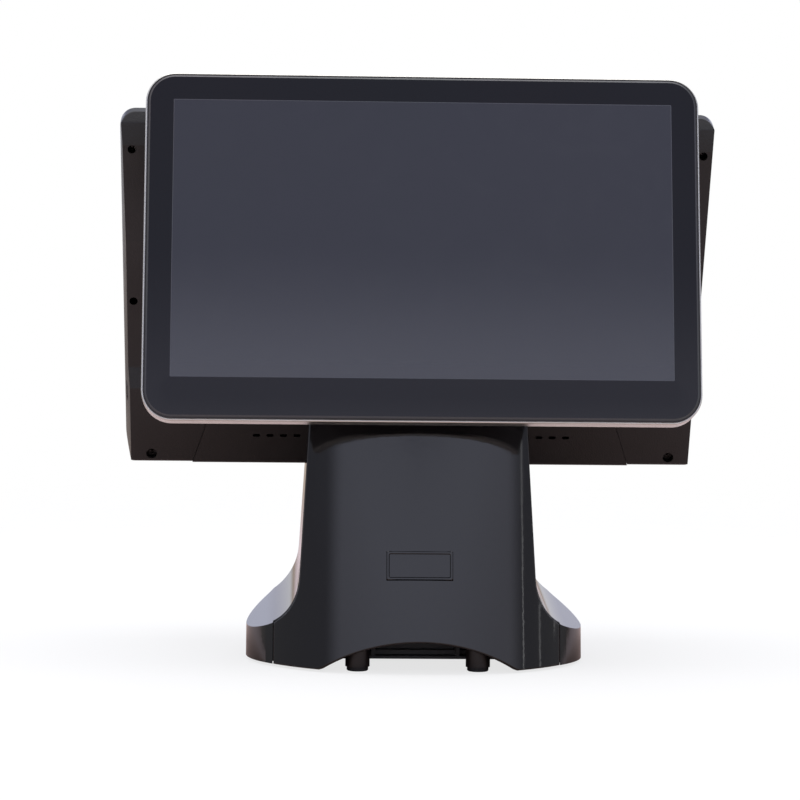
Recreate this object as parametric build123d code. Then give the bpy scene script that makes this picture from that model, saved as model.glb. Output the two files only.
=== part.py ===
from build123d import *
from math import atan2, cos, degrees, radians, sin, tan
import os

# Two-screen checkout terminal: a wide operator unit and a smaller customer unit stand back to back
# on one column with an oval foot. +Z is up, the customer stands at -Y and the operator at +Y.
# All lengths are in millimetres and all angles in degrees.

# ---- driving sizes -------------------------------------------------------------------------------
reach = 113.7             # the front and the rear edge of the whole object, from the origin

# foot and column
foot_half_width = 120.5
foot_front_depth = 95.0   # from the widest line of the foot to its front edge
foot_rear_depth = 110.0
widest_y = -11.4
front_end_radius = 70.0
rear_end_radius = 95.0
sweep_radius = 45.0       # where a wing turns up into the column's side
column_rear_low = 52.0    # rear face of the column, at the foot and at the top
column_rear_top = 3.0
foot_gap = 2.0            # the shell ends this far above the counter
wall = 3.0
column_height = 232.0
column_lean = 11.0        # the front of the column leans back by this much
deck_rise = 7.0           # the top of the foot climbs towards the rear
wing_tip_z = 16.5
panel_half_width = 101.0  # vertical seams between the front panel and the shell
seam = 0.15
arch_half_span = 72.0
arch_height = 23.0
tunnel_end_y = -43.0

# hinges
cheek_x = 30.0            # middle of each side plate of the upright
plate_thick = 3.0
shaft_r = 4.0
shaft_fit = 0.05
hub_r = 9.0
shaft_z = 250.0
customer_shaft_y = -54.0
main_shaft_y = 17.0
ear_x = 25.3              # middle of each ear of a moving leaf
washer_thick = 1.2

# customer unit
customer_tilt = 12.0
customer_glass_w, customer_glass_h, customer_radius = 379.6, 239.2, 18.5
customer_depth = 30.0
customer_active = (344.2, 193.6)
customer_active_rise = 5.2
customer_centre_z = 294.9
glass_thick = 2.0
lip = 1.0                 # black rim that stands out all round the glass
trim_out = 2.2            # the bright band stands out further still
trim_front, trim_back = 3.0, 17.0
trim_wall = 2.4

# operator unit
main_tilt = 24.0
main_width, main_height, main_radius = 427.0, 266.0, 11.0
main_centre_z = 271.5
main_active = (382.1, 214.9)
frame_depth = 8.5
cover_wall = 2.5
cover_depth = 33.0        # behind the glass, where the hinge leaf is bolted
bulge_depth = 43.0        # behind the glass, at the connector cover
side_draft = 0.16         # how fast the cover's sides draw in
slot_count, slot_pitch = 24, 10.0


customer_centre_y = -reach + customer_glass_h / 2 * sin(radians(customer_tilt))
main_centre_y = reach - main_height / 2 * sin(radians(main_tilt))

# In each unit's own frame X runs across the screen, Y up along it and Z out of it, from the glass.
customer_plane = Plane(
    origin=(0, customer_centre_y, customer_centre_z), x_dir=(1, 0, 0),
    z_dir=(0, -cos(radians(customer_tilt)), sin(radians(customer_tilt))))
main_plane = Plane(
    origin=(0, main_centre_y, main_centre_z), x_dir=(-1, 0, 0),
    z_dir=(0, cos(radians(main_tilt)), sin(radians(main_tilt))))


# ---- small helpers -------------------------------------------------------------------------------
def block(x0, x1, y0, y1, z0, z1):
    return Pos((x0 + x1) / 2, (y0 + y1) / 2, (z0 + z1) / 2) * Box(x1 - x0, y1 - y0, z1 - z0)


def slab(width, height, radius, z0, z1, cx=0.0, cy=0.0):
    """Plate with rounded corners between two depths."""
    return Pos(cx, cy, z0) * extrude(RectangleRounded(width, height, radius), z1 - z0)


def rod_x(radius, x0, x1, y, z):
    return Pos((x0 + x1) / 2, y, z) * Rot(0, 90, 0) * Cylinder(radius, x1 - x0)


def rod_z(radius, x, y, z0, z1):
    return Pos(x, y, (z0 + z1) / 2) * Cylinder(radius, z1 - z0)


def side_prism(points, half_width):
    """Solid of one outline in the YZ plane, both ways along X."""
    return extrude(Plane.YZ * make_face(Polyline(*points, close=True)), half_width, both=True)


def pan_screw(x, y, z, up, head_r=3.2, head_h=1.8, shank_r=1.4, shank=6.0):
    """Pan-head screw with a cross recess, its head standing from z towards up (+1 or -1)."""
    head = rod_z(head_r, x, y, min(z, z + up * head_h), max(z, z + up * head_h))
    stem = rod_z(shank_r, x, y, min(z, z - up * shank), max(z, z - up * shank))
    cross = head_r * 1.1
    cut = Pos(x, y, z + up * head_h) * (Box(cross, 0.7, 1.6) + Box(0.7, cross, 1.6))
    return head + stem - cut


# ---- foot and column -----------------------------------------------------------------------------
def oval_half(half, deep, end_radius, sign):
    """Half of an oval in plan: a wide arc across the end and a tighter one at each side."""
    side = half - end_radius
    wide_radius = (side ** 2 + deep ** 2 - end_radius ** 2) / (2 * (deep - end_radius))
    centre = deep - wide_radius
    spread = degrees(atan2(side, -centre))
    ends = [CenterArc((side, 0), end_radius, 0 if sign > 0 else spread - 90, 90 - spread),
            CenterArc((-side, 0), end_radius, 90 + spread if sign > 0 else 180, 90 - spread)]
    return ends + [CenterArc((0, sign * centre), wide_radius, sign * 90 - spread, 2 * spread)]


def front_sheet(inset):
    """Everything behind the leaning front surface, which is half an oval in plan."""
    half, deep = foot_half_width - inset, foot_front_depth - inset
    beyond = half + 8
    sides = Polyline((half, 0), (beyond, 0), (beyond, 230), (-beyond, 230), (-beyond, 0), (-half, 0))
    outline = make_face(oval_half(half, deep, front_end_radius - inset, -1) + [sides])
    lean = radians(column_lean)
    axis = Plane(origin=(0, widest_y, 0), x_dir=(1, 0, 0), z_dir=(0, sin(lean), cos(lean)))
    return axis.location * Pos(0, 0, -60) * extrude(outline, 400)


def rear_sheet(inset):
    """Everything in front of the upright rear wall of the foot."""
    half, deep = foot_half_width - inset, foot_rear_depth - inset
    beyond = half + 9
    sides = Polyline((-half, 0), (-beyond, 0), (-beyond, -170), (beyond, -170), (beyond, 0), (half, 0))
    outline = make_face(oval_half(half, deep, rear_end_radius - inset, 1) + [sides])
    return Pos(0, widest_y, -3) * extrude(outline, 290)


def swoop(inset):
    """Front outline of foot and column: wings that sweep up into the column's sides."""
    tip, tip_z = foot_half_width + 8, wing_tip_z - 4.6 - inset
    neck, neck_z = 84.4 - inset * 0.9, 36.7 - inset * 0.6
    head, head_z = 69.6 - inset, column_height + 60
    right = FilletPolyline((tip, tip_z), (neck, neck_z), (head, head_z), radius=sweep_radius + inset)
    left = FilletPolyline((-head, head_z), (-neck, neck_z), (-tip, tip_z), radius=sweep_radius + inset)
    top = Line((head, head_z), (-head, head_z))
    under = Polyline((-tip, tip_z), (-tip, -50), (tip, -50), (tip, tip_z))
    # the outline is true where the front surface meets the counter and climbs towards the rear
    rise = radians(deck_rise)
    middle = Plane(origin=(0, -75, 0), x_dir=(-1, 0, 0), z_dir=(0, cos(rise), sin(rise)))
    return middle.location * Pos(0, 0, -80) * extrude(make_face([right, top, left, under]), 300)


def column_zone(inset):
    top = column_height - inset
    low, high = column_rear_low - inset, column_rear_top - inset
    return side_prism([(-150, -2), (low, -2), (low, 20), (high, top), (-150, top)], 132)


def deck_zone(inset):
    """Height of the foot from front to rear, seen from the side."""
    deck = FilletPolyline((-160, 22 - inset), (66, 45 - inset), (112, 6 - inset), radius=45 - inset)
    rest = Polyline((112, 6 - inset), (112, -10), (-160, -10), (-160, 22 - inset))
    return extrude(Plane.YZ * make_face([deck, rest]), 135, both=True)


def stand_block(inset):
    """Solid outline of foot and column together, drawn in by inset all round."""
    if inset not in made_blocks:
        hull = front_sheet(inset) & rear_sheet(inset) & swoop(inset)
        made_blocks[inset] = (hull & column_zone(inset)) + (hull & deck_zone(inset))
    return made_blocks[inset]


made_blocks = {}


def panel_zone(extra):
    """The front skin between its two upright seams."""
    skin = front_sheet(-1) - front_sheet(wall + extra)
    return skin & block(-panel_half_width - extra, panel_half_width + extra, -160, -5, -10, 300)


def arch_cutter(extra, end_y):
    radius = (arch_half_span ** 2 + arch_height ** 2) / (2 * arch_height)
    length = end_y + 140
    middle = Pos(0, end_y - length / 2, arch_height - radius)
    barrel = middle * Rot(90, 0, 0) * Cylinder(radius + extra, length)
    return barrel & block(-90, 90, -150, 60, -5, 40)


badge_w, badge_h, badge_z = 46.0, 20.0, 75.0


def badge_plane():
    front_y = widest_y - foot_front_depth + badge_z * tan(radians(column_lean))
    lean = radians(column_lean)
    return Plane(origin=(0, front_y, badge_z), x_dir=(1, 0, 0), z_dir=(0, -cos(lean), sin(lean)))


def front_panel():
    panel = stand_block(0) & panel_zone(0) & block(-200, 200, -200, 200, foot_gap, column_height)
    panel -= arch_cutter(0, tunnel_end_y)
    return panel - badge_plane().location * slab(badge_w + 0.2, badge_h + 0.2, 1.6, -1.9, 6)


def stand_shell():
    shell = stand_block(0) - (stand_block(wall) + block(-200, 200, -200, 200, -20, foot_gap))
    hollow = stand_block(wall) & block(-200, 200, -200, 200, -5, 20)
    shell = shell - Pos(0, 0, -8) * hollow - panel_zone(seam) - back_panel_zone(seam)
    shell -= arch_cutter(0.4, tunnel_end_y)
    for side in (-1, 1):
        x = side * cheek_x
        shell -= block(x - 3, x + 3, -62, 12, column_height - 6, column_height + 2)
    shell -= rod_z(7.2, 0, -32, column_height - 6, column_height + 2)
    return shell


def back_panel_zone(extra):
    """The skin of the column's rear face, where the cable cover sits."""
    low, high, half = 74 - extra, 216 + extra, 52 + extra
    return block(-half, half, 0, 60, low, high)


def column_back_panel():
    """Cover over the cable way, screwed to the rear of the column."""
    panel = (stand_block(0) - stand_block(wall)) & back_panel_zone(0)
    for z, y in back_screw_places():
        panel -= Pos(0, y, z) * Rot(rear_turn, 0, 0) * Cylinder(1.6, 20)
    for row in range(5):
        panel -= block(-26, 26, -10, 60, 96 + row * 8, 99 + row * 8)
    return panel


# turns +Z to the outward normal of the column's rear face
rear_turn = degrees(atan2(column_rear_low - column_rear_top, column_height - 20)) - 90


def rear_face_y(z):
    """Rear face of the column at a height."""
    return column_rear_low + (z - 20) * (column_rear_top - column_rear_low) / (column_height - 20)


def back_screw_places():
    return [(z, rear_face_y(z)) for z in (84, 206)]


def column_screws():
    return Compound([Pos(0, y, z) * Rot(rear_turn, 0, 0) * pan_screw(0, 0, 0.05, 1, shank=5)
                     for z, y in back_screw_places()])


def badge_frame():
    """Raised bevelled rim around the blank plate, let into the front panel."""
    rim = slab(badge_w, badge_h, 1.5, -1.8, 0.7) - slab(badge_w - 4, badge_h - 4, 0.8, -2, 2)
    inner = rim.edges().group_by(Axis.Z)[-1]
    return badge_plane().location * chamfer(inner, 0.5)


def badge_plate():
    return badge_plane().location * slab(badge_w - 4.2, badge_h - 4.2, 0.7, -1.8, -0.6)


def foot_plan(inset, z0, z1):
    half = foot_half_width - inset
    edges = oval_half(half, foot_front_depth - inset, front_end_radius - inset, -1)
    edges += oval_half(half, foot_rear_depth - inset, rear_end_radius - inset, 1)
    return Pos(0, widest_y, z0) * extrude(make_face(edges), z1 - z0)


foot_spots = [(-84, 4), (84, 4), (-58, 66), (58, 66)]
front_foot_spots = [(-42, -76), (42, -76)]
counter_bolt_half = 50.0
base_z = 3.0              # underside of the steel base plate
base_thick = 2.0
ballast_thick = 7.0


def base_plate():
    plate = foot_plan(wall + 0.6, base_z, base_z + base_thick)
    plate -= block(-arch_half_span - 4, arch_half_span + 4, -150, tunnel_end_y + 3, 0, 20)
    for x in (-counter_bolt_half, counter_bolt_half):
        for y in (-20, 60):
            plate -= rod_z(2.75, x, y, 0, 20)
    for x, y in base_screw_spots:
        plate -= rod_z(1.7, x, y, 0, 20)
    return plate


base_screw_spots = [(-96, 20), (96, 20), (-72, -32), (72, -32), (-34, 84), (34, 84)]


def base_screws():
    return Compound([pan_screw(x, y, base_z - 0.02, -1, head_h=1.3, shank_r=1.6, shank=9)
                     for x, y in base_screw_spots])


def ballast_plate():
    plate = foot_plan(20, base_z + base_thick, base_z + base_thick + ballast_thick)
    plate -= block(-66, 66, -150, 46, 0, 30) + block(-79, 79, -150, tunnel_end_y + 3, 0, 30)
    for x, y in base_screw_spots:
        plate -= rod_z(5, x, y, 0, 30)
    for x in (-counter_bolt_half, counter_bolt_half):
        plate -= rod_z(6, x, 60, 0, 30)
    return plate


def foot_pads():
    pads = [rod_z(9, x, y, 0, base_z - 0.02) for x, y in foot_spots]
    pads += [rod_z(7.5, x, y, 0, base_z) for x, y in front_foot_spots]
    return Compound([chamfer(pad.edges().group_by(Axis.Z)[0], 0.6) for pad in pads])


def cable_tunnel():
    """Arched lining of the cable way, with the two posts that carry the front pads."""
    span = block(-arch_half_span - 2, arch_half_span + 2, -97, tunnel_end_y, base_z, 40)
    lining = (arch_cutter(3.4, tunnel_end_y) - arch_cutter(0.9, 60)) & span & front_sheet(wall + 0.4)
    for x, y in front_foot_spots:
        post = rod_z(8.5, x, y, base_z, 34) & arch_cutter(2.0, tunnel_end_y)
        lining += post & front_sheet(wall + 0.4)
    return lining


# ---- upright and hinges --------------------------------------------------------------------------
def cheek(x):
    outline = side_prism([(-40, 5.2), (30, 5.2), (14, 120), (-6, 224), (-4, 244), (17, 241), (17, 258),
                          (customer_shaft_y, 258), (customer_shaft_y, 241), (-46, 236), (-44, 222), (-48, 150)],
                         plate_thick / 2)
    hubs = rod_x(hub_r - 0.5, -plate_thick / 2, plate_thick / 2, customer_shaft_y, shaft_z)
    hubs += rod_x(hub_r - 0.5, -plate_thick / 2, plate_thick / 2, main_shaft_y, shaft_z)
    side = Pos(x, 0, 0) * (outline + hubs)
    for y in (customer_shaft_y, main_shaft_y):
        side -= rod_x(shaft_r, x - 5, x + 5, y, shaft_z)
    return side


def upright_bracket():
    """Folded steel upright: two side plates, a web between them and a bolted flange."""
    inner = cheek_x - plate_thick / 2
    base = base_z + base_thick
    bracket = cheek(-cheek_x) + cheek(cheek_x)
    bracket += block(-inner - 0.5, inner + 0.5, -22, -19, base, 214)
    bracket += block(-60, 60, -30, 40, base, base + plate_thick)
    for z in (60, 110, 160):
        bracket -= Pos(0, -20.5, z) * Rot(90, 0, 0) * Cylinder(9, 10)
    for x in (-counter_bolt_half, counter_bolt_half):
        bracket -= rod_z(6, x, -20, 0, 30)
    return bracket


def upright_bolts():
    base = base_z + base_thick + plate_thick
    heads = []
    for x in (-46, 46):
        for y in (4, 30):
            washer = rod_z(5.5, x, y, base, base + 2)
            heads.append(washer + Pos(x, y, base + 2) * extrude(RegularPolygon(4.6, 6), 4))
    return Compound(heads)


def hinge_shaft(y):
    end = cheek_x + plate_thick / 2 + 5
    shaft = rod_x(shaft_r, -end, end, y, shaft_z)
    return chamfer(shaft.edges().filter_by(GeomType.CIRCLE), 0.5)


def shaft_nuts():
    start = cheek_x + plate_thick / 2
    nuts = []
    for y in (customer_shaft_y, main_shaft_y):
        for side in (-1, 1):
            nut = extrude(RegularPolygon(7, 6), 3.6) - Cylinder(shaft_r, 20)
            place = Pos(side * start, y, shaft_z) * Rot(0, side * 90, 0)
            nuts.append(place * nut)
    return Compound(nuts)


def friction_washers():
    """Dished washers that grip the ears of both leaves."""
    washers = []
    for y in (customer_shaft_y, main_shaft_y):
        for side in (-1, 1):
            x = side * (cheek_x - plate_thick / 2 - washer_thick)
            ring = rod_x(7.5, min(x, x + side * washer_thick), max(x, x + side * washer_thick), y, shaft_z)
            washers.append(ring - rod_x(shaft_r + shaft_fit, -40, 40, y, shaft_z))
    return Compound(washers)


def hinge_leaf(plane, shaft_y, face_z, width, height, low):
    """Moving leaf in a unit's own frame: a plate on the cover and two ears that reach the shaft."""
    axis_at = plane.to_local_coords(Vector(0, shaft_y, shaft_z))
    leaf = slab(width, height, 5, face_z - plate_thick, face_z, 0, axis_at.Y + low)
    for side in (-1, 1):
        x = side * ear_x
        back = face_z - plate_thick + 0.5
        arm = block(x - 1.5, x + 1.5, axis_at.Y - hub_r, axis_at.Y + hub_r, axis_at.Z, back)
        leaf += arm + rod_x(hub_r, x - 1.5, x + 1.5, axis_at.Y, axis_at.Z)
        for hole_y in (-height / 2 + 8, height / 2 - 8):
            leaf -= rod_z(2.2, side * (width / 2 - 8), axis_at.Y + low + hole_y, face_z - 6, face_z + 2)
    leaf -= rod_x(shaft_r + shaft_fit, -60, 60, axis_at.Y, axis_at.Z)
    return plane.location * leaf


def leaf_screws(plane, shaft_y, face_z, width, height, low):
    axis_at = plane.to_local_coords(Vector(0, shaft_y, shaft_z))
    screws = []
    for side in (-1, 1):
        for hole_y in (-height / 2 + 8, height / 2 - 8):
            x, y = side * (width / 2 - 8), axis_at.Y + low + hole_y
            screws.append(pan_screw(x, y, face_z - plate_thick - 0.02, -1,
                                    head_r=3.6, shank_r=2.0, shank=plate_thick))
    return plane.location * Compound(screws)


customer_leaf = (customer_plane, customer_shaft_y, -customer_depth - 0.05, 96, 58, 0)
main_leaf = (main_plane, main_shaft_y, -cover_depth - 0.05, 110, 66, 0)


# ---- customer unit, in its own frame -------------------------------------------------------------
def customer_slab(out, z_back, z_front):
    """Plate that follows the glass, wider than it by out on every side."""
    width, height = customer_glass_w + 2 * out, customer_glass_h + 2 * out
    return slab(width, height, customer_radius + out, z_back, z_front)


def customer_glass():
    return chamfer(customer_slab(0, -glass_thick, 0).edges().group_by(Axis.Z)[-1], 1.1, 0.6)


def customer_trim():
    """Bright metal band around the unit, behind the black rim."""
    band = customer_slab(trim_out, -trim_back, -trim_front)
    outer = band.edges().group_by(Axis.Z)
    band = fillet(outer[0] + outer[-1], 0.8)
    return band - customer_slab(trim_out - trim_wall, -20, 5)


def customer_frame():
    """Black carrier behind the glass; its rim is the dark line inside the bright band."""
    rim = fillet(customer_slab(lip, -trim_front, -0.7).edges().group_by(Axis.Z)[-1], 0.3)
    frame = rim - customer_slab(0.05, -glass_thick - 0.05, 5)
    frame += customer_slab(trim_out - trim_wall - 0.05, -9, -trim_front)
    frame -= slab(362, 209, 2, -10, -5.2, 0, customer_active_rise)
    opening_w, opening_h = customer_active[0] + 1.8, customer_active[1] + 1.8
    return frame - slab(opening_w, opening_h, 1, -9, 0, 0, customer_active_rise)


def customer_lcd():
    panel = slab(359.5, 206.5, 1.5, -8.6, -5.3, 0, customer_active_rise)
    return panel + slab(340, 12, 1, -9.6, -8.6, 0, customer_active_rise - 92)


def tray(width, height, radius, z_front, z_back, slope):
    """Rounded block that narrows towards its back."""
    front = Pos(0, 0, z_front) * RectangleRounded(width, height, radius)
    back_radius = max(radius - slope / 2, 3)
    back = Pos(0, 0, z_back) * RectangleRounded(width - 2 * slope, height - 2 * slope, back_radius)
    return loft([front, back])


def customer_shell():
    front = -trim_back - 0.1
    width, height = customer_glass_w, customer_glass_h
    outer = tray(width, height, customer_radius, front, -customer_depth, 12)
    outer = fillet(outer.edges().group_by(Axis.Z)[0], 4)
    inner_back = -customer_depth + 2.4
    shell = outer - tray(width - 5, height - 5, customer_radius - 2, front + 0.01, inner_back, 11)
    for row in range(2):
        for number in range(14):
            x = (number - 6.5) * 9
            shell -= slab(2.4, 11, 1.1, -40, -10, x, 62 + row * 16)
    for x, y in customer_screw_spots:
        shell -= rod_z(1.45, x, y, -40, -10)
    return shell - rod_z(5, 0, gland_y, -40, -10)


def customer_board():
    board = slab(150, 62, 2, -19.6, -18, 40, 50)
    chips = [(8, 50, 22, 22, 2.4), (62, 62, 26, 16, 3.0), (62, 36, 30, 12, 3.6), (30, 30, 40, 7, 4.2)]
    for x, y, width, height, tall in chips:
        board += slab(width, height, 1, -18, -18 + tall, x, y)
    return board


def customer_board_posts():
    return Compound([rod_z(2.6, x, y, -27.6, -19.6) for x in (-28, 108) for y in (24, 76)])


def customer_screws():
    back = -customer_depth - 0.02
    return Compound([pan_screw(x, y, back, -1, shank=2.3) for x, y in customer_screw_spots])


customer_screw_spots = [(x, y) for x in (-150, 150) for y in (-88, 88)]
gland_y = -82.0           # where the lead from the column enters the customer unit


def customer_gland():
    """Rubber grommet where the lead from the column enters the customer unit."""
    back = -customer_depth
    ring = rod_z(5, 0, gland_y, back, back + 2.3) + rod_z(7, 0, gland_y, back - 1.6, back)
    return ring - rod_z(3.0, 0, gland_y, -40, -20)


# ---- operator unit, in its own frame -------------------------------------------------------------
def main_glass():
    plate = slab(main_width - 6, main_height - 6, main_radius - 3, -glass_thick, 0)
    return chamfer(plate.edges().group_by(Axis.Z)[-1], 0.4)


def main_frame():
    frame = slab(main_width, main_height, main_radius, -frame_depth, -0.4)
    frame = fillet(frame.edges().group_by(Axis.Z)[-1], 1.4)
    frame -= slab(main_width - 5.6, main_height - 5.6, main_radius - 2.8, -glass_thick - 0.05, 4)
    frame -= slab(400, 234, 2, -frame_depth - 1, -4.6)
    return frame - slab(main_active[0] + 2, main_active[1] + 2, 1, -9, 1)


def main_lcd():
    return slab(398, 232, 1.5, -8.0, -4.8) + slab(380, 14, 1, -9.4, -8.0, 0, -104)


def cover_profile(inset, depth):
    """Side outline of the rear cover: deep at the bottom, thin and rounded at the top."""
    low, top, front = -main_height / 2 + inset, main_height / 2 - inset, -frame_depth - 0.1
    back = -depth + inset
    outline = FilletPolyline(
        (low, front), (low, back), (-72, back), (-58, -cover_depth + inset), (42, -cover_depth + inset),
        (top - 21, -21.5 + inset), (top - 6, -15 + inset), (top, front - 0.9), radius=3 - inset * 0.8)
    close = Polyline((top, front - 0.9), (top, front), (low, front))
    return make_face([outline, close])


def cover_block(inset, depth):
    body = extrude(Plane.YZ * cover_profile(inset, depth), main_width / 2 - inset, both=True)
    plan = slab(main_width - 2 * inset, main_height - 2 * inset, main_radius - inset * 0.8, -60, 0)
    return body & plan & drafted_sides(inset)


def drafted_sides(inset):
    """Side edges of the cover, which draw in a little from the front frame to the back."""
    half, deep = main_width / 2 - inset, 60.0
    drawn_in = (deep - frame_depth) * side_draft
    points = [(-half, 0), (half, 0), (half, -frame_depth), (half - drawn_in, -deep),
              (-half + drawn_in, -deep), (-half, -frame_depth)]
    return extrude(Plane.XZ * make_face(Polyline(*points, close=True)), main_height, both=True)


def port_cover_zone(extra):
    """Lower middle of the cover: a trapezoid that widens towards the bottom edge."""
    low = -main_height / 2
    points = [(-163 - extra, low - 1), (163 + extra, low - 1),
              (139 + extra, -60 + extra), (-139 - extra, -60 + extra)]
    return Pos(0, 0, -60) * extrude(make_face(Polyline(*points, close=True)), 60 - frame_depth - 4)


def side_screw_spots():
    return [(side * 204.8, y) for side in (-1, 1) for y in (109, -5)]


corner_screw_spots = [(-193, -125.8), (193, -125.8)]
corner_post_z = -35.9     # top of the posts that hold the corner screws
button_y, button_z = -84.0, -20.0


def main_cover():
    cover = cover_block(0, bulge_depth - 1.6) - cover_block(cover_wall, bulge_depth - 1.6)
    cover -= slab(main_width + 2, main_height + 2, 8, -frame_depth - 0.1, 10)
    cover -= slab(main_width - 2 * cover_wall - 1, main_height - 2 * cover_wall - 1, 7, -frame_depth - 2, 5)
    cover -= port_cover_zone(0.2)
    for x, y in side_screw_spots():
        cover -= rod_z(3.0, x, y, -60, -frame_depth - 6)
    for x, y in corner_screw_spots:
        cover -= rod_z(4.0, x, y, -60, -30)
    for number in range(slot_count):
        x = (number - (slot_count - 1) / 2) * slot_pitch
        cover -= slab(5.4, 2.2, 1.0, -60, -20, x, 30) + slab(5.4, 2.2, 1.0, -60, -20, x, 22)
    edge = main_width / 2
    return cover - block(edge - 8, edge + 2, button_y - 7.2, button_y + 7.2, button_z - 3.2, button_z + 3.2)


def port_cover():
    """Snap-on cover over the connectors, open along its lower edge where leads leave."""
    body = cover_block(0, bulge_depth) - cover_block(cover_wall, bulge_depth)
    cover = body & port_cover_zone(0)
    for number in range(slot_count):
        x = (number - (slot_count - 1) / 2) * slot_pitch
        cover -= slab(5.4, 2.4, 1.1, -60, -20, x, -109)
    return cover - slab(120, 30, 2, -26, -14, 0, -main_height / 2)


def corner_screws():
    top = corner_post_z - 0.1
    return Compound([pan_screw(x, y, top, -1, head_r=2.9, shank=6) for x, y in corner_screw_spots])


def corner_posts():
    """Screw posts behind the two lower corners, each with its screw hole."""
    posts = []
    for x, y in corner_screw_spots:
        post = rod_z(4.2, x, y, corner_post_z, -frame_depth - 5)
        post -= rod_z(1.45, x, y, corner_post_z - 1, corner_post_z + 12)
        posts.append(post - rod_z(2, x, y, corner_post_z - 1, corner_post_z + 0.4))
    return Compound(posts)


def main_chassis():
    plate = slab(406, 236, 5, -14.2, -13.0, 0, -4)
    plate += block(-185, 185, -122, -120.8, -14.2, -9.6) + block(-185, 185, 112.8, 114, -14.2, -9.6)
    for x in (-150, -75, 0, 75, 150):
        plate -= slab(46, 26, 6, -20, -10, x, 78)
    for x, y in corner_screw_spots:
        plate -= rod_z(6, x, y, -30, 0)
    return plate


board_z = -20.0


def main_board():
    return slab(250, 140, 3, board_z - 1.6, board_z, 0, -34)


def board_posts():
    return Compound([Pos(x, y, board_z) * extrude(RegularPolygon(3.2, 6), -14.2 - board_z)
                     for x in (-118, 118) for y in (-96, 28)])


def port_row():
    """Connectors along the lower edge of the main board, mouths facing down."""
    row = block(-118, 118, -104, -95, board_z - 2.6, board_z - 1.6)
    places = [(-104, 20, 9), (-78, 18, 9), (-52, 18, 9), (-28, 16, 10), (-6, 16, 10), (18, 20, 10), (46, 24, 9),
              (76, 24, 9), (104, 14, 9)]
    for x, width, tall in places:
        half, mouth = width / 2, width / 2 - 1.4
        row += block(x - half, x + half, -112, -95, board_z - 1.6 - tall, board_z - 1.6)
        row -= block(x - mouth, x + mouth, -114, -102, board_z - tall - 0.4, board_z - 3.0)
    return row


fan_x, fan_y, fan_r = -70.0, -34.0, 21.0
fan_low, fan_high = -30.2, -22.0


def heat_sink():
    sink = slab(62, 60, 1, -23.0, -21.7, 10, -34)
    for number in range(13):
        x = -18 + number * 4.6
        sink += block(x, x + 1.2, -62, -6, -29.6, -22.9)
    return sink


def fan_housing():
    """Blower casing with an inlet towards the cover and an outlet towards the fins."""
    casing = rod_z(fan_r + 5, fan_x, fan_y, fan_low, fan_high)
    casing += block(fan_x, -24, fan_y - fan_r - 5, fan_y + fan_r - 3, fan_low, fan_high)
    casing -= rod_z(fan_r + 2.5, fan_x, fan_y, fan_low + 1.5, fan_high - 1.5)
    casing -= block(fan_x, -20, fan_y - fan_r - 2.5, fan_y + fan_r - 5.5, fan_low + 1.5, fan_high - 1.5)
    casing -= rod_z(13.5, fan_x, fan_y, fan_low - 1, fan_low + 2)
    return casing + rod_z(2.0, fan_x, fan_y, fan_low + 3, fan_high - 0.5)


def fan_rotor():
    """Hub with curved-in blades that turns on the casing's pin."""
    middle = (fan_low + fan_high) / 2
    rotor = rod_z(9, fan_x, fan_y, fan_low + 1.9, fan_high - 1.9)
    for number in range(11):
        blade = Pos(14, 0, middle) * Rot(0, 0, 28) * Box(14, 1.3, 4)
        rotor += Pos(fan_x, fan_y, 0) * Rot(0, 0, number * 360 / 11) * blade
    return rotor - rod_z(2.0 + shaft_fit, fan_x, fan_y, fan_low, fan_high)


def storage_drive():
    return slab(100, 69.8, 3, -28.6, -21.7, 82.0, 3) & block(44, 123, -30, 37, -40, 0)


def memory_module():
    stick = block(50, 119, -62, -36, -24.4, -23.2) + block(48, 121, -40, -34.5, -26.2, -21.7)
    for number in range(4):
        stick += block(54 + number * 16, 66 + number * 16, -58, -46, -25.4, -24.4)
    return stick


def speakers():
    pair = []
    for side in (-1, 1):
        box = slab(38, 78, 4, -28, -15, side * 172, -58) - rod_z(14, side * 172, -46, -30, -26)
        pair.append(box + rod_z(10, side * 172, -46, -27.6, -26))
    return Compound(pair)


def side_screws():
    screws = []
    for x, y in side_screw_spots():
        depth = -15.5
        screws.append(pan_screw(x, y, depth, -1, head_r=2.6, head_h=1.5, shank=6))
    return Compound(screws)


def power_button():
    """Oblong push button in the cover's right-hand edge, on a guide stem."""
    edge = main_width / 2
    flush = edge - (-button_z - frame_depth) * side_draft
    cap = block(edge - 5.0, flush, button_y - 6.9, button_y + 6.9, button_z - 2.9, button_z + 2.9)
    cap = fillet(cap.edges().filter_by(Axis.X), 2.4)
    return cap + block(edge - 9.5, edge - 5.0, button_y - 2, button_y + 2, button_z - 1.5, button_z + 1.5)


def button_switch():
    edge = main_width / 2
    switch = block(edge - 21, edge - 13, button_y - 5, button_y + 5, button_z - 4, button_z + 5.7)
    low, high = button_y - 1.5, button_y + 1.5
    return switch + block(edge - 13, edge - 11.4, low, high, button_z - 1.5, button_z + 1.5)


# ---- write every piece ---------------------------------------------------------------------------
def customer_place(shape):
    return customer_plane.location * shape


def main_place(shape):
    return main_plane.location * shape


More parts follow.
